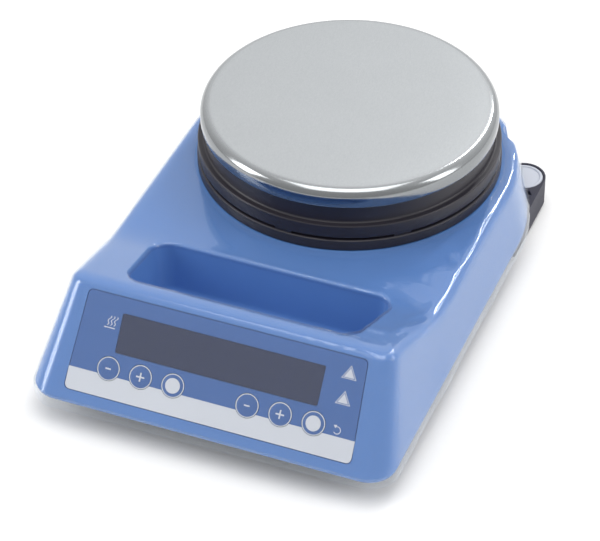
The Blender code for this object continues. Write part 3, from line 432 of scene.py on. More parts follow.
seat = prism_bmesh(rounded(FOIL_HALF_TOP, FOIL_HALF_BOTTOM, FOIL_HALF_HEIGHT, FOIL_CORNER), -FOIL_DEPTH, 4.0)
lens_hole = box_bmesh((WINDOW_SIZE[0] - 5.0, WINDOW_SIZE[1] - 3.5, 12.0), (0.0, WINDOW_V, 0.0))
housing_cutters = [make_object("cut_seat", seat, matrix=PANEL), make_object("cut_lens", lens_hole, matrix=PANEL)]
for row_start in KEY_ROWS.values():
    for k in range(3):
        hole = bmesh.new()
        bmesh.ops.create_cone(hole, cap_ends=True, segments=40, radius1=KEY_RADIUS + 0.3,
                              radius2=KEY_RADIUS + 0.3, depth=12.0)
        bmesh.ops.translate(hole, vec=(row_start + k * KEY_PITCH, KEY_V, 0.0), verts=hole.verts)
        housing_cutters.append(make_object("cut_key", hole, matrix=PANEL))
rear_low, rear_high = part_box("rear_panel")
BAY_Y = rear_high.y / MM - AXIS_Y + 0.8
BAY_HALF = 37.0
BAY_TOP = 36.0
bay = box_bmesh((2 * BAY_HALF, 40.0, 60.0), (0.0, BAY_Y + 20.0, BAY_TOP - 30.0))
housing_cutters.append(make_object("cut_bay", bay))


def bracket_plan(grow, front_y):
    """Plan of the rod bracket: an arm along the side wall that ends in a round boss."""
    radius = BOSS_RADIUS + grow
    points = arc(BOSS, radius, 0, 180, 40) + [(BOSS.x - radius, BOSS.y)]
    points += [(BOSS.x - radius, 42.0), (60.0 - grow, 34.0), (60.0 - grow, front_y - grow),
               (BOSS.x + radius, front_y - grow)]
    return points


housing_cutters.append(make_object("cut_bracket", prism_bmesh(bracket_plan(1.0, 8.0), -5.0, 17.0)))
scallop = prism_bmesh(arc(BOSS, BOSS_RADIUS + 0.4, 0, 360, 64), 10.0, 80.0)
housing_cutters.append(make_object("cut_scallop", scallop))
cut(housing, housing_cutters)
even = housing.modifiers.new("even", "WEIGHTED_NORMAL")
even.keep_sharp = True
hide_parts("housing_shell")
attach(housing, "base")


# --- Base plate, feet and screws ----------------------------------------------------------------
# A powder-coated steel pressing closes the housing from below.  Four black rubber feet are pressed
# into it, and zinc-plated screws hold it to the housing and carry the rod bracket.

def refine(name, node, material, width, body="base", angle=30.0):
    """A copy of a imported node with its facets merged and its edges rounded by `width` mm."""
    bm = bmesh.new()
    bm.from_mesh(nodes[node].data)
    bmesh.ops.remove_doubles(bm, verts=bm.verts, dist=0.00001)
    bmesh.ops.dissolve_limit(bm, angle_limit=math.radians(1.0), verts=bm.verts, edges=bm.edges)
    bmesh.ops.recalc_face_normals(bm, faces=bm.faces)
    mesh = bpy.data.meshes.new(name)
    bm.to_mesh(mesh)
    bm.free()
    made = bpy.data.objects.new(name, mesh)
    bpy.context.scene.collection.objects.link(made)
    mesh.materials.append(material)
    bevel = made.modifiers.new("edges", "BEVEL")
    bevel.width = width * MM
    bevel.segments = 2
    bevel.limit_method = "ANGLE"
    bevel.angle_limit = math.radians(angle)
    bevel.harden_normals = True
    bake(made)
    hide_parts(node)
    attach(made, body)
    return made


powder_grey = moulded("powder_coated_steel_grey", "55585C", 0.55, 0.5, 0.05)
refine("base_tray", "base_plate", powder_grey, 0.5)

rubber = moulded("moulded_rubber_black", "202022", 0.8, 0.35, 0.04)


def turned_bmesh(profile, count, closed=False):
    """A (radius, height) profile that runs down its outer side, turned round the z axis."""
    bm = bmesh.new()
    row = [bm.verts.new((radius, 0.0, height)) for radius, height in profile]
    edges = [bm.edges.new(pair) for pair in zip(row[:-1], row[1:])]
    if closed:
        edges.append(bm.edges.new((row[-1], row[0])))
    bmesh.ops.spin(bm, geom=row + edges, cent=(0, 0, 0), axis=(0, 0, 1), angle=2 * math.pi, steps=count)
    bmesh.ops.remove_doubles(bm, verts=bm.verts, dist=0.0005)
    bmesh.ops.dissolve_degenerate(bm, edges=bm.edges, dist=0.0001)
    bmesh.ops.recalc_face_normals(bm, faces=bm.faces)
    return bm


def copies_tree(name, material):
    """Geometry Nodes: a shape set on every point of a mesh, one material, one realised mesh."""
    tree = bpy.data.node_groups.new(name, "GeometryNodeTree")
    tree.interface.new_socket("Points", in_out="INPUT", socket_type="NodeSocketGeometry")
    tree.interface.new_socket("Shape", in_out="INPUT", socket_type="NodeSocketObject")
    tree.interface.new_socket("Size", in_out="INPUT", socket_type="NodeSocketFloat")
    tree.interface.new_socket("Geometry", in_out="OUTPUT", socket_type="NodeSocketGeometry")
    given = add_node(tree, "NodeGroupInput")
    shape = add_node(tree, "GeometryNodeObjectInfo", None, {"Object": given.outputs["Shape"]})
    turn = add_node(tree, "GeometryNodeInputNamedAttribute", {"data_type": "FLOAT", "Name": "turn"})
    angles = add_node(tree, "ShaderNodeCombineXYZ", None, {"Z": turn.outputs[0]})
    setting = add_node(tree, "GeometryNodeInstanceOnPoints", None,
                       {"Points": given.outputs["Points"], "Instance": shape.outputs["Geometry"],
                        "Rotation": angles.outputs[0], "Scale": given.outputs["Size"]})
    real = add_node(tree, "GeometryNodeRealizeInstances", None, {0: setting.outputs[0]})
    coat = add_node(tree, "GeometryNodeSetMaterial", {"Material": material}, {0: real.outputs[0]})
    add_node(tree, "NodeGroupOutput", None, {0: coat.outputs[0]})
    return tree


def set_copies(name, shape, spots, material, angle=30.0):
    """One mesh with a copy of the shape on each (x, y, z, turn) spot, in mm and radians."""
    mesh = bpy.data.meshes.new(name)
    mesh.from_pydata([(x * MM, y * MM, z * MM) for x, y, z, _ in spots], [], [])
    turns = mesh.attributes.new("turn", "FLOAT", "POINT")
    turns.data.foreach_set("value", [spot[3] for spot in spots])
    made = bpy.data.objects.new(name, mesh)
    bpy.context.scene.collection.objects.link(made)
    modifier = made.modifiers.new("copies", "NODES")
    modifier.node_group = copies_tree(name, material)
    for item in modifier.node_group.interface.items_tree:
        if item.in_out == "INPUT" and item.name == "Shape":
            modifier[item.identifier] = shape
        if item.in_out == "INPUT" and item.name == "Size":
            modifier[item.identifier] = 1.0
    bake(made, angle)
    bpy.data.objects.remove(shape, do_unlink=True)
    return made


def spot_of(node):
    """Middle of a node in plan and its lowest level, in mm."""
    low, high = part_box(node)
    return (low.x + high.x) / 2 / MM, (low.y + high.y) / 2 / MM, low.z / MM


FOOT_NODES = ["foot_front_left", "foot_front_right", "foot_rear_left", "foot_rear_right"]
FOOT_HEIGHT = 8.3
foot_profile = [(0.0, FOOT_HEIGHT), (8.8, FOOT_HEIGHT), (9.0, 8.0), (9.0, 5.2), (8.6, 4.9), (8.6, 4.3),
                (9.0, 4.0), (8.3, 1.4), (7.8, 0.5), (7.2, 0.0), (5.4, 0.0), (5.0, 0.5), (0.0, 0.5)]
foot_shape = make_object("foot_shape", turned_bmesh(foot_profile, 48), matrix=Matrix.Translation((0, -AXIS_Y, 0)))
feet = set_copies("feet", foot_shape, [(*spot_of(n), 0.0) for n in FOOT_NODES], rubber)
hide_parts(*FOOT_NODES)
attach(feet, "base")


def metal(name, code, roughness, grain, depth):
    """A metal surface with the marks of its finish, `grain` mm across."""
    material, tree, shader, spot = new_material(name, {"Metallic": 1.0})
    marks = add_node(tree, "ShaderNodeTexNoise", {"Scale": 1 / (grain * MM), "Detail": 5.0},
                     {"Vector": spot})
    dark = [c * 0.88 for c in linear(code)[:3]]
    colour = add_node(tree, "ShaderNodeMix",
                      {"data_type": "RGBA", 6: (*dark, 1.0), 7: linear(code)},
                      {0: marks.outputs[0]})
    tree.links.new(colour.outputs[2], shader.inputs["Base Color"])
    gloss = add_node(tree, "ShaderNodeMapRange", {3: roughness * 0.8, 4: roughness * 1.2},
                     {0: marks.outputs[0]})
    tree.links.new(gloss.outputs[0], shader.inputs["Roughness"])
    bump = add_node(tree, "ShaderNodeBump", {"Strength": 1.0, "Distance": depth * MM},
                    {"Height": marks.outputs[0]})
    tree.links.new(bump.outputs[0], shader.inputs["Normal"])
    return material


zinc = metal("zinc_plated_steel", "A9ACAF", 0.35, 0.8, 0.01)
SCREW_NODES = ["base_screw_front_left", "base_screw_front_right", "base_screw_rear_left",
               "base_screw_rear_right", "bracket_screw_front", "bracket_screw_rear"]
screw_profile = [(0.0, 12.0), (1.2, 12.0), (1.6, 10.5), (1.6, 1.7), (3.1, 1.7), (3.2, 1.5), (3.1, 0.5),
                 (2.5, 0.0), (0.0, 0.0)]
screw_shape = make_object("screw_shape", turned_bmesh(screw_profile, 32), matrix=Matrix.Translation((0, -AXIS_Y, 0)))
slots = []
for turn in (0.0, math.pi / 2):
    slot_bm = box_bmesh((3.4, 0.7, 1.8))
    bmesh.ops.rotate(slot_bm, matrix=Matrix.Rotation(turn, 3, "Z"), verts=slot_bm.verts)
    slots.append(make_object("slot", slot_bm, matrix=Matrix.Translation((0, -AXIS_Y, 0))))
cut(screw_shape, slots)
screws = set_copies("screws", screw_shape, [(*spot_of(n), 0.6 * i) for i, n in enumerate(SCREW_NODES)], zinc)
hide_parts(*SCREW_NODES)
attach(screws, "base")


# --- Drive, heater and electronics inside ---------------------------------------------------------
# A shaded-pole motor turns a magnet carrier under the plate; a tubular element heats a cast disc
# that carries the plate.  Boards, transformer and leads fill the front.  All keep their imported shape.

cast_aluminium = metal("cast_aluminium", "B4B6B8", 0.45, 1.2, 0.05)
ferrite = metal("sintered_magnet", "6B6D70", 0.5, 0.5, 0.02)
copper = metal("enamelled_copper", "A8623C", 0.35, 0.6, 0.01)
black_plastic = moulded("polyamide_black", "1E1E20", 0.42, 0.4, 0.02)
board_green = moulded("solder_mask_green", "2C5A3A", 0.35, 0.8, 0.01, mottle=0.2, blotch=3.0)
wool = moulded("ceramic_fibre_felt", "D9D4C7", 0.95, 0.7, 0.3, mottle=0.15)
sleeve = moulded("silicone_sleeve_red", "8E2A24", 0.5, 0.4, 0.02)
INNER = {
    zinc: ["motor_mount", "bearing_lower", "bearing_upper", "motor_rotor", "heating_element"],
    cast_aluminium: ["heater_body", "magnet_carrier", "heat_sink"],
    ferrite: ["magnet_north", "magnet_south"],
    copper: ["motor_lead", "temperature_sensor"],
    black_plastic: ["motor_case", "display_module", "transformer", "capacitor", "mains_lead",
                    *[n for n in nodes if n.startswith("switch_heat") or n.startswith("switch_stir")]],
    board_green: ["control_board", "power_board"],
    wool: ["insulation_disc"],
    sleeve: ["panel_ribbon", "heater_lead"],
}
for finish, members in INNER.items():
    for member in members:
        for material_slot in nodes[member].material_slots:
            material_slot.material = finish


# --- Collar ---------------------------------------------------------------------------------------
# A drum and a base ring of glass-filled polyamide keep the hot plate away from the housing.  Eight
# lugs hold them a slot's width apart, so that air can pass; their grain scatters the light.

drum_low, drum_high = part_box("collar_drum")
ring_low, ring_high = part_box("collar_base_ring")
DRUM_RADIUS = 66.0
COLLAR_INNER = 62.0
FLANGE_RADIUS = drum_high.x / MM
FLANGE_TOP = 56.3
FLANGE_BOTTOM = drum_low.z / MM
DRUM_TOP = drum_high.z / MM
RING_RADIUS = 69.4
RING_TOP = 48.6
RING_BOTTOM = ring_low.z / MM
LUGS = 8
LUG_START = math.radians(-94.0)

polyamide = moulded("glass_filled_polyamide_anthracite", "221F28", 0.42, 0.45, 0.03, mottle=0.08)
drum_profile = [(COLLAR_INNER + 0.4, DRUM_TOP), (DRUM_RADIUS - 0.3, DRUM_TOP), (DRUM_RADIUS, DRUM_TOP - 0.3),
                (DRUM_RADIUS, FLANGE_TOP + 1.0)]
drum_profile += [(DRUM_RADIUS + 1.0 - 1.0 * math.cos(a), FLANGE_TOP + 1.0 - 1.0 * math.sin(a))
                 for a in [math.radians(d) for d in (20, 45, 70, 90)]]
drum_profile += [(FLANGE_RADIUS - 0.7 + 0.7 * math.sin(a), FLANGE_TOP - 0.7 + 0.7 * math.cos(a))
                 for a in [math.radians(d) for d in (0, 30, 60, 90)]]
drum_profile += [(FLANGE_RADIUS, FLANGE_BOTTOM + 0.4), (FLANGE_RADIUS - 0.4, FLANGE_BOTTOM),
                 (COLLAR_INNER, FLANGE_BOTTOM), (COLLAR_INNER, DRUM_TOP - 0.4)]
drum = make_object("collar_drum_ring", turned_bmesh(drum_profile, 192, closed=True), polyamide)
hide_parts("collar_drum")
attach(drum, "base")

ring_profile = [(COLLAR_INNER, RING_TOP), (RING_RADIUS - 0.9, RING_TOP)]
ring_profile += [(RING_RADIUS - 0.9 + 0.9 * math.sin(a), RING_TOP - 0.9 + 0.9 * math.cos(a))
                 for a in [math.radians(d) for d in (30, 60, 90)]]
ring_profile += [(RING_RADIUS, RING_BOTTOM + 0.3), (RING_RADIUS - 0.3, RING_BOTTOM), (56.0, RING_BOTTOM),
                 (56.0, RING_BOTTOM + 2.1), (COLLAR_INNER, RING_BOTTOM + 2.1)]
base_ring = make_object("collar_foot_ring", turned_bmesh(ring_profile, 192, closed=True), polyamide)
lug_height = FLANGE_BOTTOM - 0.3 - RING_TOP
lug_shape = make_object("lug_shape", box_bmesh((6.2, 8.0, lug_height + 0.5), (65.4, 0.0, lug_height / 2)),
                        matrix=Matrix.Translation((0, -AXIS_Y, 0)))
lug_spots = [(0.0, AXIS_Y, RING_TOP, LUG_START + 2 * math.pi * k / LUGS) for k in range(LUGS)]
lugs = set_copies("collar_lugs", lug_shape, lug_spots, polyamide)
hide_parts("collar_base_ring")
for piece in (base_ring, lugs):
    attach(piece, "base")


# --- Heating plate ----------------------------------------------------------------------------------
# A spun stainless cap over the heater: a flat, finely ground top that looks satin, and a rolled rim
# that was polished after spinning, so that it mirrors the room in bright and dark bands.  Its colour
# is also darkened towards the edge, a painted shade for the dark band that the rim reflects.

PLATE_RADIUS = (plate_high.x - plate_low.x) / 2 / MM
PLATE_TOP = plate_high.z / MM
PLATE_BOTTOM = plate_low.z / MM
PLATE_EDGE = 4.7
PLATE_WALL = 1.4
GRIND = 0.35

steel, steel_tree, steel_shader, steel_spot = new_material(
    "ground_stainless_steel", {"Metallic": 1.0})
centred = add_node(steel_tree, "ShaderNodeMapping", {"Location": (0.0, -AXIS_Y * MM, 0.0)}, {"Vector": steel_spot})
split = add_node(steel_tree, "ShaderNodeSeparateXYZ", None, {"Vector": centred.outputs[0]})
flat = add_node(steel_tree, "ShaderNodeCombineXYZ", None, {"X": split.outputs["X"], "Y": split.outputs["Y"]})
reach = add_node(steel_tree, "ShaderNodeVectorMath", {"operation": "LENGTH"}, {0: flat.outputs[0]})
drawn = add_node(steel_tree, "ShaderNodeMapping", {"Rotation": (0.0, 0.0, 0.5), "Scale": (1.0, 0.3, 1.0)},
                 {"Vector": steel_spot})
ground = add_node(steel_tree, "ShaderNodeTexNoise", {"Scale": 1 / (GRIND * MM), "Detail": 4.0},
                  {"Vector": drawn.outputs[0]})
cloud = add_node(steel_tree, "ShaderNodeTexNoise", {"Scale": 1 / (18.0 * MM), "Detail": 2.0},
                 {"Vector": steel_spot})
polish = add_node(steel_tree, "ShaderNodeMapRange",
                  {1: (PLATE_RADIUS - PLATE_EDGE - 0.5) * MM, 2: (PLATE_RADIUS - PLATE_EDGE + 1.5) * MM,
                   3: 0.42, 4: 0.17},
                  {0: reach.outputs["Value"]})
uneven = add_node(steel_tree, "ShaderNodeMapRange", {3: 0.92, 4: 1.08}, {0: cloud.outputs[0]})
gloss = add_node(steel_tree, "ShaderNodeMath", {"operation": "MULTIPLY"},
                 {0: polish.outputs[0], 1: uneven.outputs[0]})
steel_tree.links.new(gloss.outputs[0], steel_shader.inputs["Roughness"])
tone = add_node(steel_tree, "ShaderNodeMix",
                {"data_type": "RGBA", 6: linear("B4B8BB"), 7: linear("C9CCCE")},
                {0: ground.outputs[0]})
# Painted shade: the colour is scaled down to 0.55 towards the rim's edge, standing in for the dark band it reflects.
painted_rim_shade = add_node(steel_tree, "ShaderNodeMapRange",
                  {1: (PLATE_RADIUS - PLATE_EDGE) * MM, 2: (PLATE_RADIUS - 0.5) * MM, 3: 1.0, 4: 0.55},
                  {0: reach.outputs["Value"]})
shade = add_node(steel_tree, "ShaderNodeVectorMath", {"operation": "SCALE"},
                 {0: tone.outputs[2], "Scale": painted_rim_shade.outputs[0]})
steel_tree.links.new(shade.outputs[0], steel_shader.inputs["Base Color"])
scratch = add_node(steel_tree, "ShaderNodeBump", {"Strength": 1.0, "Distance": 0.006 * MM},
                   {"Height": ground.outputs[0]})
steel_tree.links.new(scratch.outputs[0], steel_shader.inputs["Normal"])

inside = PLATE_RADIUS - PLATE_WALL
plate_profile = [(0.0, PLATE_TOP), (20.0, PLATE_TOP), (45.0, PLATE_TOP)]
plate_profile += [(PLATE_RADIUS - PLATE_EDGE + PLATE_EDGE * math.sin(a),
                   PLATE_TOP - PLATE_EDGE + PLATE_EDGE * math.cos(a))
                  for a in [math.pi / 2 * k / 14 for k in range(15)]]
plate_profile += [(PLATE_RADIUS, PLATE_BOTTOM + 1.5), (PLATE_RADIUS - 0.25, PLATE_BOTTOM + 0.3),
                  (PLATE_RADIUS - 0.7, PLATE_BOTTOM), (inside, PLATE_BOTTOM), (inside, PLATE_TOP - 3.4),
                  (inside - 1.6, PLATE_TOP - 1.8), (0.0, PLATE_TOP - 1.8)]
plate = make_object("steel_plate", turned_bmesh(plate_profile, 256), steel, angle=40.0)
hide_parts("heating_plate")
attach(plate, "base")


# --- Control panel ----------------------------------------------------------------------------------
# A screen-printed polyester foil lies in a shallow seat on the inclined front, with a smoked window
# for the display and six keys.  The pale print stands on the foil as a thin layer of ink.

def flat_piece(name, loops, thickness, bottom, material, body, matrix=PANEL):
    """Flat outlines, with holes where a loop lies in another, raised from `bottom` in a frame."""
    curve = bpy.data.curves.new(name, "CURVE")
    curve.dimensions = "2D"
    curve.fill_mode = "BOTH"
    curve.extrude = thickness / 2
    for loop in loops:
        spline = curve.splines.new("POLY")
        spline.points.add(len(loop) - 1)
        for point, (x, y) in zip(spline.points, loop):
            point.co = (x, y, 0.0, 1.0)
        spline.use_cyclic_u = True
    shape = bpy.data.objects.new(name + "_outline", curve)
    bpy.context.scene.collection.objects.link(shape)
    bpy.context.view_layer.update()
    mesh = bpy.data.meshes.new_from_object(shape.evaluated_get(bpy.context.evaluated_depsgraph_get()))
    bpy.data.objects.remove(shape, do_unlink=True)
    bm = bmesh.new()
    bm.from_mesh(mesh)
    bmesh.ops.remove_doubles(bm, verts=bm.verts, dist=0.0005)
    bmesh.ops.translate(bm, vec=(0.0, 0.0, bottom + thickness / 2), verts=bm.verts)
    bmesh.ops.recalc_face_normals(bm, faces=bm.faces)
    made = make_object(name, bm, material, matrix=matrix)
    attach(made, body)
    return made


def ring_loop(centre, radius, count=48):
    return arc(centre, radius, 0, 360, count)


def bar(centre, width, height):
    x, y = centre
    return [(x - width / 2, y - height / 2), (x + width / 2, y - height / 2),
            (x + width / 2, y + height / 2), (x - width / 2, y + height / 2)]


FOIL_TOP = 0.0
FOIL_THICKNESS = 0.5
FOIL_GAP = 0.35
INK = 0.05
BAND_TOP = -12.2
KEY_HOLE = KEY_RADIUS + 0.25

foil_blue = moulded("printed_polyester_blue", "4166A2", 0.38, 0.5, 0.008, mottle=0.02)
ink_white = moulded("screen_ink_white", "D4D5DA", 0.45, 0.4, 0.004, mottle=0.02)
window_pane = [(u, v + WINDOW_V) for u, v in
               rounded(WINDOW_SIZE[0] / 2 + 0.15, WINDOW_SIZE[0] / 2 + 0.15, WINDOW_SIZE[1] / 2 + 0.15, 0.8)]
foil_loop = rounded(FOIL_HALF_TOP - FOIL_GAP, FOIL_HALF_BOTTOM - FOIL_GAP, FOIL_HALF_HEIGHT - FOIL_GAP, FOIL_CORNER)
key_spots = {f"{row}_{what}": (u + k * KEY_PITCH, KEY_V)
             for row, u in KEY_ROWS.items() for k, what in enumerate(("minus", "plus", "on"))}
foil = flat_piece("key_foil", [foil_loop, window_pane, *[ring_loop(spot, KEY_HOLE) for spot in key_spots.values()]],
                  FOIL_THICKNESS, FOIL_TOP - FOIL_THICKNESS, foil_blue, "base")
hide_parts("panel_foil")

# The white band fills the foil's lower edge and runs in a bow under each key.
lower = FOIL_HALF_HEIGHT - FOIL_GAP
band_half = FOIL_HALF_BOTTOM - FOIL_GAP
band = [(-band_half + 0.15, BAND_TOP)]
for u, v in key_spots.values():
    sweep = math.degrees(math.asin((BAND_TOP - v) / KEY_HOLE))
    band += arc((u, v), KEY_HOLE, 180 - sweep, 360 + sweep, 24) + arc((u, v), KEY_HOLE, 360 + sweep, 361 + sweep, 1)
band += [(band_half - 0.15, BAND_TOP)]
band += arc((band_half - FOIL_CORNER, FOIL_CORNER - lower), FOIL_CORNER, 0, -90, 8)
band += arc((FOIL_CORNER - band_half, FOIL_CORNER - lower), FOIL_CORNER, -90, -180, 8)
flat_piece("white_band", [band], INK, FOIL_TOP, ink_white, "base")

# Heat sign: three rising waves over a bar.  Stirring sign: an open circle with an arrow head.
HEAT_SIGN = (-50.7, 10.0)
STIR_SIGN = (56.65, -9.6)
for k in (-1, 0, 1):
    wave_left = [(HEAT_SIGN[0] + 1.5 * k - 0.22 + 0.45 * math.sin(t * 2.2) + 0.25 * t, HEAT_SIGN[1] - 1.3 + t)
                 for t in [4.2 * i / 14 for i in range(15)]]
    wave_right = [(x + 0.42, y) for x, y in reversed(wave_left)]
    flat_piece(f"heat_sign_wave_{k + 2}", [wave_left + wave_right], INK, FOIL_TOP, ink_white, "base")
flat_piece("heat_sign_bar", [bar((HEAT_SIGN[0] - 0.2, HEAT_SIGN[1] - 2.2), 5.0, 0.45)], INK, FOIL_TOP, ink_white,
           "base")
flat_piece("stir_sign_circle",
           [arc(STIR_SIGN, 1.7, -150, 120, 24) + arc(STIR_SIGN, 1.35, 120, -150, 24)],
           INK, FOIL_TOP, ink_white, "base")
flat_piece("stir_sign_head", [[(STIR_SIGN[0] - 1.9, STIR_SIGN[1] + 1.9), (STIR_SIGN[0] - 0.3, STIR_SIGN[1] + 2.3),
                               (STIR_SIGN[0] - 0.8, STIR_SIGN[1] + 0.7)]],
           INK, FOIL_TOP, ink_white, "base")
# Two plain triangles, each an outline round a smaller filled one.
for number, (u, v) in enumerate(((56.8, 14.2), (56.5, 3.3)), start=1):
    rings = []
    for size in (3.9, 3.35, 2.7):
        rings.append([(u + size * math.cos(math.radians(a)), v + size * math.sin(math.radians(a)))
                      for a in (90, 210, 330)])
    flat_piece(f"triangle_sign_{number}", rings, INK, FOIL_TOP, ink_white, "base")

smoked = moulded("smoked_acrylic", "2E3552", 0.14, 0.8, 0.0006, mottle=0.05, ior=1.49, blotch=20.0)
window = flat_piece("display_pane", [[(u, v + WINDOW_V) for u, v in
                                      rounded(WINDOW_SIZE[0] / 2, WINDOW_SIZE[0] / 2, WINDOW_SIZE[1] / 2, 0.8)]],
                    1.9, -1.95, smoked, "base")
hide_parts("display_window")

key_blue = moulded("silicone_key_blue", "3F639E", 0.35, 0.5, 0.006, mottle=0.02)
key_profile = [(0.0, 0.32), (2.4, 0.30), (3.8, 0.22), (4.7, 0.06), (5.0, -0.1), (KEY_RADIUS, -0.3),
               (KEY_RADIUS, -0.9), (2.0, -0.9), (2.0, -5.1), (0.0, -5.1)]
for key, spot in key_spots.items():
    there = PANEL @ Matrix.Translation((*spot, 0.0))
    cap = make_object(f"{key}_button", turned_bmesh(key_profile, 64), key_blue, matrix=there)
    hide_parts(f"key_{key}")
    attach(cap, f"key_{key}_body")
    marks = {"minus": [bar((0, 0), 2.5, 0.65)], "on": [ring_loop((0, 0), 3.3)],
             "plus": [[(-1.9, -0.33), (-0.33, -0.33), (-0.33, -1.9), (0.33, -1.9), (0.33, -0.33), (1.9, -0.33),
                       (1.9, 0.33), (0.33, 0.33), (0.33, 1.9), (-0.33, 1.9), (-0.33, 0.33), (-1.9, 0.33)]]}
    flat_piece(f"{key}_mark", marks[key.split("_")[1]], INK + 0.12, 0.23, ink_white,
               f"key_{key}_body", matrix=there)
    flat_piece(f"{key}_ring", [ring_loop((0, 0), KEY_RADIUS), ring_loop((0, 0), KEY_RADIUS - 0.4)],
               0.12, -0.05, ink_white, f"key_{key}_body", matrix=there)


# --- Rear connectors -----------------------------------------------------------------------------------
# The powder-coated rear panel sits in a bay and carries the appliance inlet, the rocker switch in
# its frame and the socket of an external temperature sensor.

refine("rear_plate", "rear_panel", powder_grey, 0.3)
refine("appliance_inlet", "mains_inlet", black_plastic, 0.35)
refine("rocker_frame", "switch_frame", black_plastic, 0.35)
refine("rocker", "mains_rocker", black_plastic, 0.4, body="rocker")
socket_low, socket_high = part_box("sensor_socket")
socket_x = (socket_low.x + socket_high.x) / 2 / MM
socket_z = (socket_low.z + socket_high.z) / 2 / MM
socket_end = socket_high.y / MM - AXIS_Y
# Lengths along the socket's axis, from its outer end inwards
socket_profile = [(0.0, -15.9), (6.2, -15.9), (6.2, -2.0), (8.2, -2.0), (8.2, -0.5), (7.7, 0.0), (5.4, 0.0),
                  (5.0, -0.5), (5.0, -7.9), (0.0, -7.9)]
socket = make_object("probe_socket", turned_bmesh(socket_profile[::-1], 64), black_plastic,
                     matrix=Matrix.Translation((socket_x, socket_end, socket_z)) @ Matrix.Rotation(-math.pi / 2, 4, "X"))
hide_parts("sensor_socket")
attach(socket, "base")


# --- Rod bracket and cap ---------------------------------------------------------------------------------
# A dark blue-grey polyamide arm at the right rear, screwed on from below.  Its boss takes a support
# rod, and a pale push-in cap closes the bore when there is no rod.

bracket_grey = moulded("polyamide_blue_grey", "2A2A3A", 0.6, 0.5, 0.03)
refine("support_bracket", "rod_bracket", bracket_grey, 0.6)
cap_grey = moulded("polyethylene_light_grey", "C4C8D2", 0.45, 0.8, 0.01, mottle=0.03)
cap_low, cap_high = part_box("rod_cap")
CAP_TOP = cap_high.z / MM
cap_profile = [(0.0, CAP_TOP - 0.5), (7.2, CAP_TOP - 0.5), (7.6, CAP_TOP - 0.1), (8.0, CAP_TOP), (8.5, CAP_TOP - 0.1),
               (8.9, CAP_TOP - 0.5), (8.9, CAP_TOP - 2.1), (5.7, CAP_TOP - 2.1), (5.3, CAP_TOP - 5.0),
               (0.0, CAP_TOP - 5.0)]
cap = make_object("bore_cap", turned_bmesh(cap_profile, 96), cap_grey, matrix=Matrix.Translation((*BOSS, 0.0)))
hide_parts("rod_cap")
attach(cap, "cap")


# --- Clear cover -------------------------------------------------------------------------------------------
# A thin vacuum-formed PVC film that lifts off.  It hugs the housing, is cut out round the collar,
# the trough and the bracket, and is a little wavy at its hem, with creases beside the collar.

FILM_HEM = 9.2
FILM_COLLAR = 70.9
FILM_TURN_DOWN = 1.6
FILM_GAP = 0.42
FILM_THICKNESS = 0.25


def film_lift(spot, normal):
    """How far the film stands off the housing at a point, in mm."""
    slow = noise.noise(Vector(spot) / 34.0 + Vector((3.1, 7.7, 1.3)))
    lift = FILM_GAP + 0.22 * (slow + 0.6)
    right = min(max((spot[0] - 20.0) / 40.0, 0.0), 1.0)
    bend = noise.noise(Vector((spot[0] / 16.0, spot[1] / 30.0, spot[2] / 22.0)))
    crease = 1.0 - abs(noise.noise(Vector((spot[0] / 17.0 + bend, spot[1] / 26.0, 5.0))))
    if normal.z > 0.7:
        lift += right * 0.8 * crease ** 6
    else:
        low = min(max((30.0 - spot[2]) / 20.0, 0.0), 1.0)
        lift += 0.3 * low * (0.5 + 0.5 * math.sin(spot[1] / 9.0 + 2.0 * bend)) * right
        bulge = math.exp(-((spot[1] + 100.0) / 13.0) ** 2) * low * right
        lift += 0.45 * bulge
    return min(max(lift, 0.2), 1.4)


film_bm = housing_skin(FILM_HEM, 0.0, FILM_COLLAR, FILM_TURN_DOWN)
bmesh.ops.recalc_face_normals(film_bm, faces=film_bm.faces)
side_face = max(film_bm.faces, key=lambda face: face.calc_center_median().x)
if side_face.normal.x < 0:
    bmesh.ops.reverse_faces(film_bm, faces=film_bm.faces)
film_bm.normal_update()
moves = [(v, v.normal.copy(), film_lift(v.co, v.normal)) for v in film_bm.verts]
for v, normal, lift in moves:
    if v.co.z < HOUSING_BOTTOM + 6.0:
        near = (HOUSING_BOTTOM + 6.0 - v.co.z) / (HOUSING_BOTTOM + 6.0 - FILM_HEM)
        side = min(max((v.co.x + 60.0) / 120.0, 0.0), 1.0)
        wave = 0.6 * noise.noise(Vector((v.co.x, v.co.y, 0.0)) / 17.0)
        v.co.z += near * (0.3 + 1.7 * side + wave)
    v.co += normal * lift

film, film_tree, film_shader, film_spot = new_material(
    "clear_pvc_film", {"Base Color": linear("EEF2F6"), "Metallic": 0.8})
haze = add_node(film_tree, "ShaderNodeTexNoise", {"Scale": 1 / (6.0 * MM), "Detail": 3.0}, {"Vector": film_spot})
film_gloss = add_node(film_tree, "ShaderNodeMapRange", {3: 0.05, 4: 0.12}, {0: haze.outputs[0]})
film_tree.links.new(film_gloss.outputs[0], film_shader.inputs["Roughness"])
film_bump = add_node(film_tree, "ShaderNodeBump", {"Strength": 1.0, "Distance": 0.02 * MM}, {"Height": haze.outputs[0]})
film_tree.links.new(film_bump.outputs[0], film_shader.inputs["Normal"])
facing = add_node(film_tree, "ShaderNodeLayerWeight", {"Blend": 0.5}, {"Normal": film_bump.outputs[0]})
grazing = add_node(film_tree, "ShaderNodeMath", {"operation": "POWER", 1: 5.0}, {0: facing.outputs["Facing"]})
share = add_node(film_tree, "ShaderNodeMapRange", {3: 0.04, 4: 0.7}, {0: grazing.outputs[0]})
see = add_node(film_tree, "ShaderNodeBsdfTransparent", {"Color": linear("FBFCFD")})
both = add_node(film_tree, "ShaderNodeMixShader", None,
                {0: share.outputs[0], 1: see.outputs[0], 2: film_shader.outputs[0]})
film_tree.links.new(both.outputs[0], film_tree.nodes["Material Output"].inputs["Surface"])

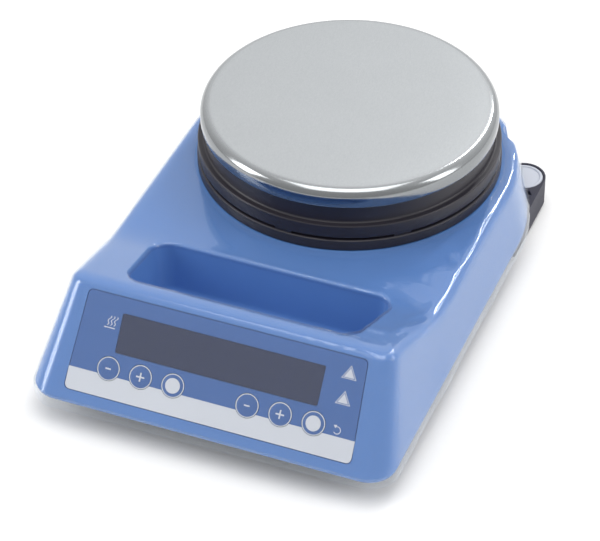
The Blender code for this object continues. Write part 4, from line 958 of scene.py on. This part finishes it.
cover = make_object("clear_cover", film_bm, film)
skin = cover.modifiers.new("film", "SOLIDIFY")
skin.thickness = FILM_THICKNESS * MM
skin.offset = 1.0
bake(cover)
film_cutters = [
    make_object("cut_film_bracket", prism_bmesh(bracket_plan(1.6, 9.0), -5.0, 18.0)),
    make_object("cut_film_scallop", prism_bmesh(arc(BOSS, BOSS_RADIUS + 1.6, 0, 360, 64), 10.0, 80.0)),
    make_object("cut_film_bay", box_bmesh((2 * BAY_HALF + 2.0, 40.0, 60.0), (0.0, BAY_Y + 20.0, BAY_TOP - 29.0))),
]
cut(cover, film_cutters)
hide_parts("protective_cover")
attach(cover, "cover")


# --- Floor, light and camera -----------------------------------------------------------------------------
# A white studio sweep, soft boxes at both sides and behind, and a camera from the front right.

floor_bm = bmesh.new()
bmesh.ops.create_grid(floor_bm, x_segments=1, y_segments=1, size=4000.0)
paper, paper_tree, paper_shader, paper_spot = new_material("white_paper", {"Roughness": 0.9})
fibre = add_node(paper_tree, "ShaderNodeTexNoise", {"Scale": 1 / (3.0 * MM)}, {"Vector": paper_spot})
paper_tone = add_node(paper_tree, "ShaderNodeMix", {"data_type": "RGBA", 6: linear("F7F7F7"), 7: linear("FAFAFA")},
                      {0: fibre.outputs[0]})
paper_tree.links.new(paper_tone.outputs[2], paper_shader.inputs["Base Color"])
floor = make_object("floor", floor_bm, paper)

world = bpy.data.worlds.new("studio")
bpy.context.scene.world = world
world.use_nodes = True
sky = world.node_tree
sky.nodes.clear()
way = add_node(sky, "ShaderNodeTexCoord")
parts_of_way = add_node(sky, "ShaderNodeSeparateXYZ", None, {0: way.outputs["Generated"]})
depth = add_node(sky, "ShaderNodeMapRange", {1: -0.6, 2: 0.7, 3: 0.62, 4: 0.95}, {0: parts_of_way.outputs["Y"]})
light_of_sky = add_node(sky, "ShaderNodeBackground", {"Color": linear("FFFFFF")}, {"Strength": depth.outputs[0]})
add_node(sky, "ShaderNodeOutputWorld", None, {"Surface": light_of_sky.outputs[0]})


def soft_box(name, place, aim, size, watts):
    lamp = bpy.data.lights.new(name, "AREA")
    lamp.shape = "RECTANGLE"
    lamp.size, lamp.size_y = size
    lamp.energy = watts
    box = bpy.data.objects.new(name, lamp)
    box.location = place
    box.rotation_euler = (Vector(aim) - Vector(place)).to_track_quat("-Z", "Y").to_euler()
    bpy.context.scene.collection.objects.link(box)


soft_box("left_box", (-1.3, -0.7, 0.75), (0.0, 0.0, 0.05), (0.5, 1.0), 9.0)
soft_box("right_box", (1.5, 0.1, 0.8), (0.0, 0.0, 0.05), (0.5, 1.0), 6.0)
soft_box("rear_strip", (0.25, 1.3, 1.1), (0.0, 0.0, 0.05), (0.09, 0.7), 5.0)
soft_box("top_box", (0.1, -0.3, 1.9), (0.0, 0.0, 0.05), (1.4, 1.2), 12.0)

AIM = Vector((-0.00995, 0.01026, 0.0))
DISTANCE = 1.28362
AZIMUTH = math.radians(22.25)
ELEVATION = math.radians(39.5)
ROLL = math.radians(0.53)
back = Vector((math.sin(AZIMUTH) * math.cos(ELEVATION), -math.cos(AZIMUTH) * math.cos(ELEVATION),
               math.sin(ELEVATION)))
camera = bpy.data.objects.new("camera", bpy.data.cameras.new("camera"))
camera.data.lens = 168.0
camera.data.sensor_width = 36.0
camera.location = AIM + back * DISTANCE
turn = (-back).to_track_quat("-Z", "Y").to_matrix() @ Matrix.Rotation(-ROLL, 3, "Z")
camera.rotation_euler = turn.to_euler()
bpy.context.scene.collection.objects.link(camera)
bpy.context.scene.camera = camera
bpy.context.scene.view_settings.view_transform = "Standard"
